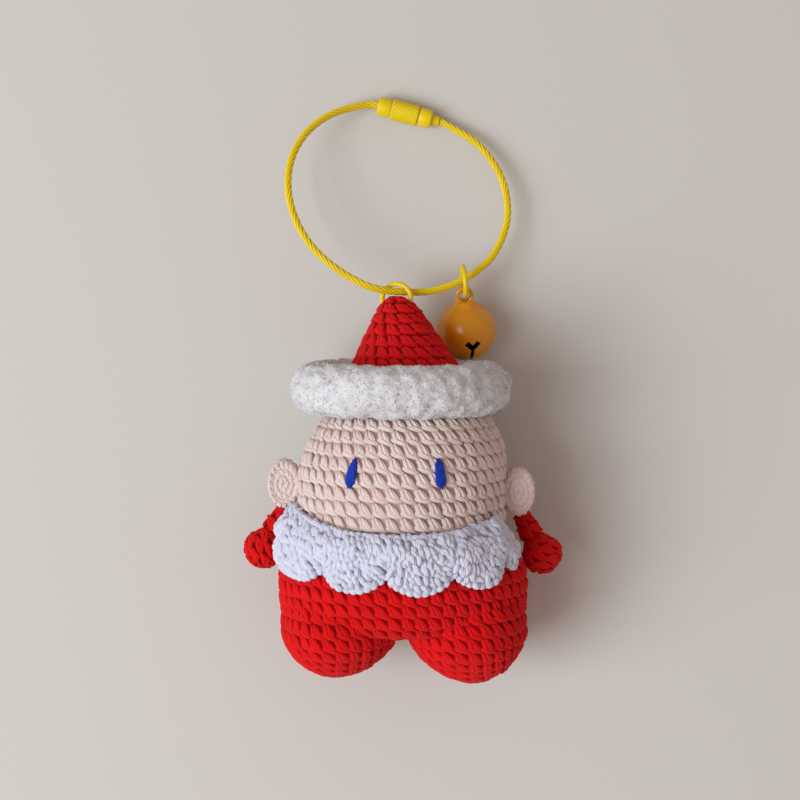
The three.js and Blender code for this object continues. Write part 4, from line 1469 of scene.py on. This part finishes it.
@dataclass
class Stuffing:
    """The fibre inside the doll, in one mass for head and trunk and one for the hat."""

    trunk: Trunk
    doll_out: float = -3.4
    hat_out: float = -2.9
    lump: float = 0.5
    floor: float = 3.304
    doll_fill: float = 0.9
    hat_fill: float = 0.6

    def build(self) -> None:
        """Makes both masses of fibre."""
        shape = FORM.head().sheath(self.doll_out, 36, 18, self.lump)
        for skin in (self.trunk.body, *self.trunk.legs.values()):
            absorb(shape, skin.sheath(self.doll_out, 36, 14, self.lump))
        mass = Dressed("stuffing_fibre", "doll", ("stuffing",), "fibre_fill", (Finish.FILL,), self.doll_fill)
        mass.sew_on(shape, self.floor)
        hat = FORM.hat().sheath(self.hat_out, 24, 14, self.lump)
        cap = Dressed(
            "hat_stuffing_fibre", "doll", ("hat_stuffing",), "fibre_fill", (Finish.FILL,), self.hat_fill
        )
        cap.sew_on(hat)


# The key loop and the bell


@dataclass
class Route:
    """The key loop's route from the hat ring, the same as the part's, in millimetres."""

    hat_ring_tilt: float = 17.0
    tip_inset: float = 0.6
    link_shift: float = 0.05
    link_rise: float = 1.7
    clasp_start: Triple = (-4.5, 45.05, -11.75)
    clasp_yaw: float = -14.2
    clasp_pitch: float = 2.8
    ferrule_end: float = 15.05
    socket_depth: float = 2.3
    seat_gap: float = 0.3
    lead_in: float = 0.5
    lead_out: float = 0.6
    turns: tuple[Triple, ...] = (
        (-7.3, 45.1, -11.4), (-11.6, 44.0, -10.0), (-16.6, 41.6, -7.7), (-20.8, 37.85, -5.4),
        (-23.75, 33.0, -3.4), (-25.1, 27.6, -2.0), (-24.9, 22.0, -0.9), (-23.45, 16.85, -0.2),
        (-21.0, 12.3, 0.4), (-17.95, 8.6, 0.9), (-14.35, 5.5, 1.4), (-10.55, 3.0, 1.75),
        (-6.9, 1.2, 1.95), (-3.4, 0.25, 1.4), (0, 0, 0), (3.3, -0.05, -1.45),
        (6.5, 0.1, -2.4), (10.8, 1.0, -3.2), (16.0, 3.3, -4.1), (21.4, 7.45, -6.2),
        (24.45, 12.2, -8.0), (26.1, 17.6, -9.1), (26.0, 23.1, -9.9), (24.5, 28.4, -10.8),
        (21.8, 32.9, -11.4), (18.4, 36.5, -11.8), (14.4, 39.1, -12.2),
    )

    def __post_init__(self) -> None:
        """Works out the ring's centre, the clasp's place and the points of the loop."""
        tip = Vector((FORM.hat_tip_x, FORM.hat_tip_y - self.tip_inset, -FORM.hat_droop))
        self.ring_matrix = Matrix.Translation(DOLL.matrix() @ tip) @ turned(-self.hat_ring_tilt, "Y")
        self.link = self.ring_matrix @ Vector((self.link_shift, self.link_rise, 0))
        lie = turned(self.clasp_yaw, "Z") @ turned(self.clasp_pitch, "Y")
        self.clasp_matrix = Matrix.Translation(self.link + Vector(self.clasp_start)) @ lie
        start = self.socket_depth - self.seat_gap
        end = self.ferrule_end - start
        first = (start, start / 2, -self.lead_in)
        last = (self.ferrule_end + self.lead_out, (end + self.ferrule_end) / 2, end)
        out, back = ([self.clasp_matrix @ Vector((x, 0, 0)) for x in places] for places in (first, last))
        self.points = [*out, *(self.link + Vector(turn) for turn in self.turns), *back]

    def path(self, per_span: int) -> list[Vector]:
        """Points along the loop's smooth line, so many to each span between two points of the route."""
        first = self.points[0] * 2 - self.points[1]
        last = self.points[-1] * 2 - self.points[-2]
        guides = [first, *self.points, last]
        found = []
        for index in range(len(self.points) - 1):
            span = guides[index : index + 4]
            found.extend(self._on_span(span, step / per_span) for step in range(per_span))
        return [*found, self.points[-1]]

    @staticmethod
    def _on_span(guides: Sequence[Vector], share: float) -> Vector:
        """A point between the second and third of four guides, on a centripetal curve through them."""
        first, low, high, last = guides
        before, here, after = (math.sqrt((end - start).length) for start, end in zip(guides, guides[1:]))
        leave = ((low - first) / before - (high - first) / (before + here) + (high - low) / here) * here
        arrive = ((high - low) / here - (last - low) / (here + after) + (last - high) / after) * here
        square, cube = share * share, share ** 3
        return (
            low * (2 * cube - 3 * square + 1) + leave * (cube - 2 * square + share)
            + high * (3 * square - 2 * cube) + arrive * (cube - square)
        )


def frames_along(line: Sequence[Vector]) -> list[Matrix]:
    """Frames along a line, x along it, that turn no more than the line does."""
    frames = []
    across = Vector((0, 0, 1))
    for before, point, after in zip([line[0], *line], line, [*line[1:], line[-1]]):
        along = (after - before).normalized()
        across = (across - along * across.dot(along)).normalized()
        frames.append(framed(along, across, along.cross(across), point))
    return frames


def swept(line: Sequence[Vector], radius: float, sides: int) -> Shape:
    """A round wire along a line: a circle drawn from point to point and capped at both ends.

    Args:
        line: The points that the wire follows.
        radius: The wire's radius.
        sides: The number of faces round it.

    Returns:
        The closed wire.
    """
    shape = new_shape()
    bmesh.ops.create_circle(shape, segments=sides, radius=radius, cap_ends=True)
    bmesh.ops.spin(shape, geom=shape.faces[:], axis=(0, 0, 1), dvec=(0, 0, 1), steps=len(line) - 1)
    frames = frames_along(line)
    for vert in shape.verts:
        vert.co = frames[round(vert.co.z)] @ Vector((0, vert.co.x, vert.co.y))
    face_outwards(shape)
    return shape


@dataclass
class WireRope:
    """The key loop's wire rope: six strands laid round each other under yellow lacquer."""

    route: Route
    diameter: float = 1.72
    strands: int = 6
    strand_radius: float = 0.30
    lay: float = 10.5
    sides: int = 7

    def build(self) -> None:
        """Makes the rope, a springy loop that both ends of the clasp hold."""
        line = self.route.path(14)
        reach = self.diameter / 2 - self.strand_radius
        lines: list[list[Vector]] = [[] for _ in range(self.strands)]
        length = 0.0
        for before, point, place in zip([line[0], *line], line, frames_along(line)):
            length += (point - before).length
            for strand, centres in enumerate(lines):
                turn = FULL_TURN * (strand / self.strands + length / self.lay)
                centres.append(place @ Vector((0, reach * math.cos(turn), reach * math.sin(turn))))
        shape = new_shape()
        for centres in (*lines, [*line[::3], line[-1]]):
            absorb(shape, swept(centres, self.strand_radius, self.sides))
        set_tone(shape, 0.5)
        piece = Dressed("key_loop_rope", "key_loop", ("cable",), "yellow_lacquer", (Finish.YELLOW,))
        piece.publish(shape, Matrix.Identity(4))


@dataclass
class JumpRing:
    """A jump ring of round wire, bent from one length with a fine split."""

    diameter: float = 8.0
    wire: float = 1.1
    split: float = 0.35
    end_round: float = 0.08
    steps: int = 72
    sides: int = 16

    @property
    def radius(self) -> float:
        """The radius of the wire's centre line."""
        return (self.diameter - self.wire) / 2

    def shape(self, split_angle: float) -> Shape:
        """The ring in its own x-y plane, split at an angle in degrees."""
        gap = math.degrees(self.split / self.radius)
        end = turned(split_angle + gap / 2, "Z") @ Matrix.Translation((self.radius, 0, 0)) @ turned(90, "X")
        shape = new_shape()
        bmesh.ops.create_circle(shape, segments=self.sides, radius=self.wire / 2, cap_ends=True, matrix=end)
        whole = math.radians(360 - gap)
        bmesh.ops.spin(shape, geom=shape.faces[:], axis=(0, 0, 1), angle=whole, steps=self.steps)
        face_outwards(shape)
        ends = [edge for edge in shape.edges if edge.is_manifold and edge.calc_face_angle(0) > 1]
        bmesh.ops.bevel(
            shape, geom=ends, offset=self.end_round, segments=2, profile=0.5, affect="EDGES", material=-1
        )
        set_tone(shape, 0.4)
        return shape


@dataclass
class Clasp:
    """The screw clasp: the collar with its stud, the knurled nut and the swivel ferrule."""

    route: Route
    collar_radius: float = 2.2
    collar_length: float = 3.2
    stud_radius: float = 1.45
    stud_length: float = 4.2
    knurl_radius: float = 2.5
    knurl_length: float = 6.4
    knurl_depth: float = 0.2
    knurl_ridges: int = 20
    knurl_angle: float = 27.0
    groove_length: float = 0.35
    groove_depth: float = 0.25
    skirt_length: float = 3.0
    ferrule_radius: float = 1.2
    ferrule_reach: float = 1.9
    socket_radius: float = 0.94
    mouth_radius: float = 1.02
    stud_chamfer: float = 0.3
    nut_chamfer: float = 0.2
    flange: float = 0.9
    lip: float = 1.0
    gap: float = 0.2
    seam: float = 0.03
    edge: float = 0.25
    facet: float = 0.07

    def __post_init__(self) -> None:
        """Works out where the knurl, the groove and the skirt end along the clasp."""
        self.groove = self.collar_length + self.gap + self.knurl_length
        self.skirt = self.groove + self.groove_length
        self.nut_end = self.skirt + self.skirt_length

    def _publish(self, shape: Shape, name: str, body: str, node: str) -> None:
        """Turns a part of the clasp from its own y axis on to the clasp's axis, and makes its piece."""
        set_tone(shape, 0.5)
        piece = Dressed(name, body, (node,), "yellow_lacquer", (Finish.YELLOW,))
        piece.publish(shape, self.route.clasp_matrix @ turned(-90, "Z"))

    def build(self) -> None:
        """Makes the three parts of the clasp."""
        collar = spun(self._collar(), 48)
        close_holes(collar)
        self._publish(collar, "clasp_collar", "key_loop", "stud_end")
        nut = self._knurled(spun(self._nut(), self.knurl_ridges * 6))
        self._publish(nut, "clasp_nut", "nut", "knurled_nut")
        self._publish(spun(self._ferrule(), 40), "clasp_ferrule", "key_loop", "swivel_end")

    def _collar(self) -> Profile:
        """The collar's profile, with its socket for the rope and the stud that it carries."""
        radius, length, edge, facet = self.collar_radius, self.collar_length, self.edge, self.facet
        stud_end = length + self.stud_length
        return [
            (self.socket_radius, self.route.socket_depth), (self.socket_radius, 0.1),
            (self.mouth_radius, 0.0), (radius - edge, 0.0), (radius - facet, facet), (radius, edge),
            (radius, length - edge), (radius - facet, length - facet), (radius - edge, length),
            (self.stud_radius, length), (self.stud_radius, stud_end - self.stud_chamfer),
            (self.stud_radius - self.stud_chamfer, stud_end), (0.0, stud_end),
        ]

    def _ferrule(self) -> Profile:
        """The ferrule's profile: its flange behind the nut's lip, its neck and its socket for the rope."""
        flange_end = self.nut_end - self.lip - self.gap
        flange = flange_end - self.flange
        end = self.nut_end + self.ferrule_reach
        floor = end - self.route.socket_depth
        radius, socket = self.ferrule_radius, self.socket_radius
        return [
            (0.0, flange), (self.stud_radius, flange), (self.stud_radius, flange_end), (radius, flange_end),
            (radius, end - self.edge), (radius - 0.1, end), (socket, end), (socket, floor), (0.0, floor),
        ]

    def _nut(self) -> Profile:
        """The nut's profile: a barrel for the knurl, a fine groove and a smooth skirt, bored through."""
        start = self.collar_length + self.seam
        end = self.nut_end
        chamfer = self.nut_chamfer
        knurl, skirt = self.knurl_radius, self.collar_radius
        bore, opening = (radius + self.gap for radius in (self.stud_radius, self.ferrule_radius))
        floor = skirt - self.groove_depth
        span = self.groove - start - 2 * chamfer
        return [
            (bore, end - self.lip), (bore, start + 0.15), (bore + 0.15, start), (knurl - chamfer, start),
            *((knurl, start + chamfer + span * step / 18) for step in range(19)),
            (knurl - chamfer, self.groove), (floor, self.groove), (floor, self.skirt),
            (skirt - 0.12, self.skirt), (skirt, self.skirt + 0.15), (skirt, end - 0.4),
            (skirt - 0.12, end - 0.12), (skirt - 0.4, end),
            (opening, end), (opening, end - self.lip), (bore, end - self.lip),
        ]

    def _knurled(self, nut: Shape) -> Shape:
        """Cuts slanting grooves into the nut's barrel."""
        start = self.collar_length + self.seam
        twist = math.tan(math.radians(self.knurl_angle)) / self.knurl_radius
        for vert in nut.verts:
            x, y, z = vert.co
            reach = math.hypot(x, z)
            if start + 0.1 < y < self.groove - 0.1 and reach > self.knurl_radius - 0.1:
                tooth = 0.5 - 0.5 * math.cos((math.atan2(x, z) - twist * (y - start)) * self.knurl_ridges)
                shrink = 1 - self.knurl_depth * tooth ** 0.7 / reach
                vert.co = (x * shrink, y, z * shrink)
        return nut


@dataclass
class Bell:
    """The amber jingle bell on its jump ring, with its pellet."""

    route: Route
    radius: float = 7.0
    wall: float = 0.5
    hang: Triple = (16.0, 3.3, -4.1)
    offset: tuple[float, float] = (0.35, -11.95)
    sway: float = -0.8
    rise: float = 22.0
    roll: float = 9.0
    neck_flare: float = 38.0
    neck_power: float = 2.6
    neck_radius: float = 1.9
    lug_reach: float = 8.75
    lug_radius: float = 2.05
    lug_hole: float = 1.25
    shoulder: float = 7.4
    slot_width: float = 0.8
    slot_polar: float = 71.0
    fork_length: float = 2.1
    fork_width: float = 1.25
    lug_edge: float = 0.4
    lug_thickness: float = 1.2
    pellet: float = 2.2
    pellet_gap: float = 0.3
    ring_split: float = 285.0
    table_gap: float = 0.05
    round_steps: int = 96
    ring_roll: float = 3.0
    tongue: float = 0.58

    def __post_init__(self) -> None:
        """Works out where the bell lies and how its axis rises to its ring."""
        aim = self.route.link + Vector(self.hang)
        hung = min(self.route.path(40), key=lambda point: (point - aim).length)
        self.centre = Vector((hung.x + self.offset[0], hung.y + self.offset[1], self.radius + self.table_gap))
        line = Vector((self.sway, -self.offset[1], 0)).normalized()
        upright = Vector((0, 0, 1))
        rise = math.radians(self.rise)
        self.axis = line * math.cos(rise) + upright * math.sin(rise)
        self.side = line.cross(upright).normalized()
        self.front = self.side.cross(self.axis).normalized()
        self.lug = self.centre + self.axis * self.lug_reach

    def build(self) -> None:
        """Makes the bell, its ring and its pellet."""
        finishes = (Finish.AMBER, Finish.HOLLOW)
        bell = Dressed("bell_shell_lacquered", "bell", ("bell_shell",), "amber_lacquer", finishes)
        bell.publish(self._shell(), framed(self.side, self.axis, self.front, self.centre))
        ring = JumpRing()
        place = framed(self.axis, self.front, self.side, self.lug + self.axis * ring.radius)
        linked = Dressed("bell_jump_ring", "bell_ring", ("bell_ring",), "yellow_lacquer", (Finish.YELLOW,))
        linked.publish(ring.shape(self.ring_split), place @ turned(self.ring_roll, "X"))
        ball = new_shape()
        bmesh.ops.create_icosphere(ball, subdivisions=4, radius=self.pellet)
        rest = self.centre - Vector((0, 0, self.radius - self.wall - self.pellet - self.pellet_gap))
        loose = Dressed("bell_ball", "pellet", ("bell_pellet",), "pellet_steel", (Finish.STEEL,))
        loose.publish(ball, Matrix.Translation(rest))

    @staticmethod
    def _arc(radius: float, first: float, last: float, steps: int) -> Profile:
        """A profile's round part, between two angles from the axis."""
        polars = (first + (last - first) * step / steps for step in range(steps + 1))
        return [(radius * math.sin(polar), radius * math.cos(polar)) for polar in polars]

    def _shell(self) -> Shape:
        """The bell in its own frame, +y towards its lug: one pear-shaped shell, slotted at its foot."""
        hollow = spun(self._arc(self.radius - self.wall, 0, math.pi, 40), self.round_steps)
        bmesh.ops.reverse_faces(hollow, faces=hollow.faces[:])
        # The inside takes the dark second finish: bare metal, and painted shade besides.
        use_second_finish(hollow)
        flare = math.radians(self.neck_flare)
        profile = self._arc(self.radius, math.pi, flare, 48)
        wide, neck_y = profile[-1]
        for step in range(1, 17):
            left = 1 - step / 16
            y = self.lug_reach + (neck_y - self.lug_reach) * left
            profile.append((self.neck_radius + (wide - self.neck_radius) * left ** self.neck_power, y))
        shape = spun([*profile, (0.0, self.lug_reach)], self.round_steps)
        for vert in shape.verts:
            if vert.co.y > self.shoulder:
                cheek = self.tongue + max(self.shoulder + 0.35 - vert.co.y, 0) * 3
                vert.co.z = max(min(vert.co.z, cheek), -cheek)
        absorb(shape, hollow)
        set_tone(shape, 0.55)
        shape = self._slotted(shape)
        hole, rim, thin, thick = self.lug_hole, self.lug_radius, self.lug_edge, self.lug_thickness / 2
        plate = spun([
            (hole, -thin), (hole + 0.15, -thick), (rim - 0.2, -thick), (rim, -thin),
            (rim, thin), (rim - 0.2, thick), (hole + 0.15, thick), (hole, thin), (hole, -thin),
        ], 40)
        move(plate, Matrix.Translation((0, self.lug_reach, 0)) @ turned(90, "X"))
        set_tone(plate, 0.45)
        absorb(shape, plate)
        return shape

    @staticmethod
    def _block(matrix: Matrix) -> bpy.types.Mesh:
        """A block that cuts away a part of the slot, from its place and size."""
        shape = new_shape()
        bmesh.ops.create_cube(shape, size=1, matrix=matrix)
        return keep(shape, "slot_tool")

    def _slotted(self, shape: Shape) -> Shape:
        """Cuts the slot and its forks out of the shell.

        Args:
            shape: The whole shell. It is let go.

        Returns:
            The slotted shell.
        """
        fork_y = -self.radius * math.cos(math.radians(self.slot_polar))
        deep = 2 * self.radius + 2
        stem = sized(self.slot_width, fork_y + self.radius + 1, deep)
        cutters = [self._block(Matrix.Translation((0, (fork_y - self.radius - 1) / 2, 0)) @ stem)]
        for side in (-1, 1):
            lean = Matrix.Translation((0, fork_y, 0)) @ turned(45 * side, "Z")
            reach = Matrix.Translation((0, (self.fork_length - self.fork_width / 2) / 2, 0))
            prong = sized(self.fork_width, self.fork_length + self.fork_width / 2, deep + side * 0.2)
            cutters.append(self._block(lean @ reach @ prong))
        eye = new_shape()
        place = turned(-self.roll, "Y") @ Matrix.Translation((0, self.lug_reach, 0))
        bmesh.ops.create_cone(
            eye, segments=40, radius1=self.lug_hole, radius2=self.lug_hole, depth=5, cap_ends=True,
            matrix=place,
        )
        shell = placed("shell_blank", keep(shape, "shell_blank"))
        tools = []
        for mesh in (*cutters, keep(eye, "lug_eye")):
            tool = placed("slot_tool", mesh)
            tool.matrix_world = turned(self.roll, "Y")
            cut = shell.modifiers.new("slot", "BOOLEAN")
            cut.operation = "DIFFERENCE"
            cut.solver = "EXACT"
            cut.object = tool
            tools.append(tool)
        bpy.context.view_layer.update()
        cut_mesh = bpy.data.meshes.new_from_object(shell.evaluated_get(bpy.context.evaluated_depsgraph_get()))
        for made in (shell, *tools):
            bpy.data.objects.remove(made)
        slotted = new_shape()
        slotted.from_mesh(cut_mesh)
        bpy.data.meshes.remove(cut_mesh)
        return slotted


# The room


@dataclass(frozen=True)
class SoftLamp:
    """A square soft lamp that shines on the keychain."""

    name: str
    towards: Triple
    distance: float
    size: float
    power: float
    tint: Colour = (0.86, 0.96, 1.0)

    def build(self) -> None:
        """Makes the lamp."""
        lamp = bpy.data.lights.new(self.name, "AREA")
        lamp.shape = "SQUARE"
        lamp.size = self.size
        lamp.energy = self.power
        lamp.color = self.tint
        holder = placed(self.name, lamp)
        direction = Vector(self.towards).normalized()
        holder.location = direction * self.distance
        holder.rotation_euler = direction.to_track_quat("Z", "Y").to_euler()


@dataclass
class Studio:
    """The pale board, the two soft lamps from the left, the sky and the camera straight above."""

    camera_at: Triple = (-0.648, -4.116, 380.0)
    lens: float = 71.25
    sky: Colour = (1.0, 0.84, 0.76)
    sky_level: float = 0.45
    lamps: tuple[SoftLamp, ...] = (
        SoftLamp("window", (-0.70, -0.22, 1.0), 1.2, 0.67, 8.2),
        SoftLamp("far_window", (-1.15, -0.36, 1.0), 1.3, 0.64, 6.0),
    )

    def build(self) -> None:
        """Makes the board, the lamps, the sky and the camera."""
        shape = new_shape()
        bmesh.ops.create_grid(shape, x_segments=4, y_segments=4, size=1.5)
        board = placed("board", keep(shape, "board"))
        board.data.materials.append(Finish.BOARD.material())
        for lamp in self.lamps:
            lamp.build()
        world = bpy.data.worlds.new("sky")
        world.use_nodes = True
        backdrop = world.node_tree.nodes["Background"]
        backdrop.inputs["Color"].default_value = (*self.sky, 1)
        backdrop.inputs["Strength"].default_value = self.sky_level
        bpy.context.scene.world = world
        camera = bpy.data.cameras.new("overhead")
        camera.lens = self.lens
        camera.sensor_width = 36
        camera.clip_start = 0.01
        holder = placed("overhead", camera)
        holder.location = Vector(self.camera_at) * MM
        bpy.context.scene.camera = holder
        bpy.context.scene.view_settings.view_transform = "Standard"


def main() -> None:
    """Builds the keychain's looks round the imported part."""
    logging.basicConfig(level=logging.INFO, format="%(name)s %(message)s")
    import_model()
    Studio().build()
    Head().build()
    trunk = Trunk()
    trunk.build()
    Hat().build()
    Brim().build()
    Beard().build()
    Ear("left_ear", -1, -18.6).build()
    Ear("right_ear", 1, -20.4).build()
    Eye("left_eye", -1, (-8.0, 6.0)).build()
    Eye("right_eye", 1, (4.0, 6.0)).build()
    Arm("left_arm", -1, (-31.5, -34.3)).build()
    Arm("right_arm", 1, (32.2, -35.5)).build()
    Stuffing(trunk).build()
    route = Route()
    WireRope(route).build()
    hat_ring = Dressed("hat_jump_ring", "hat_ring", ("hat_ring",), "yellow_lacquer", (Finish.YELLOW,))
    hat_ring.publish(JumpRing().shape(250.0), route.ring_matrix)
    Clasp(route).build()
    Bell(route).build()


if __name__ == "__main__":
    main()
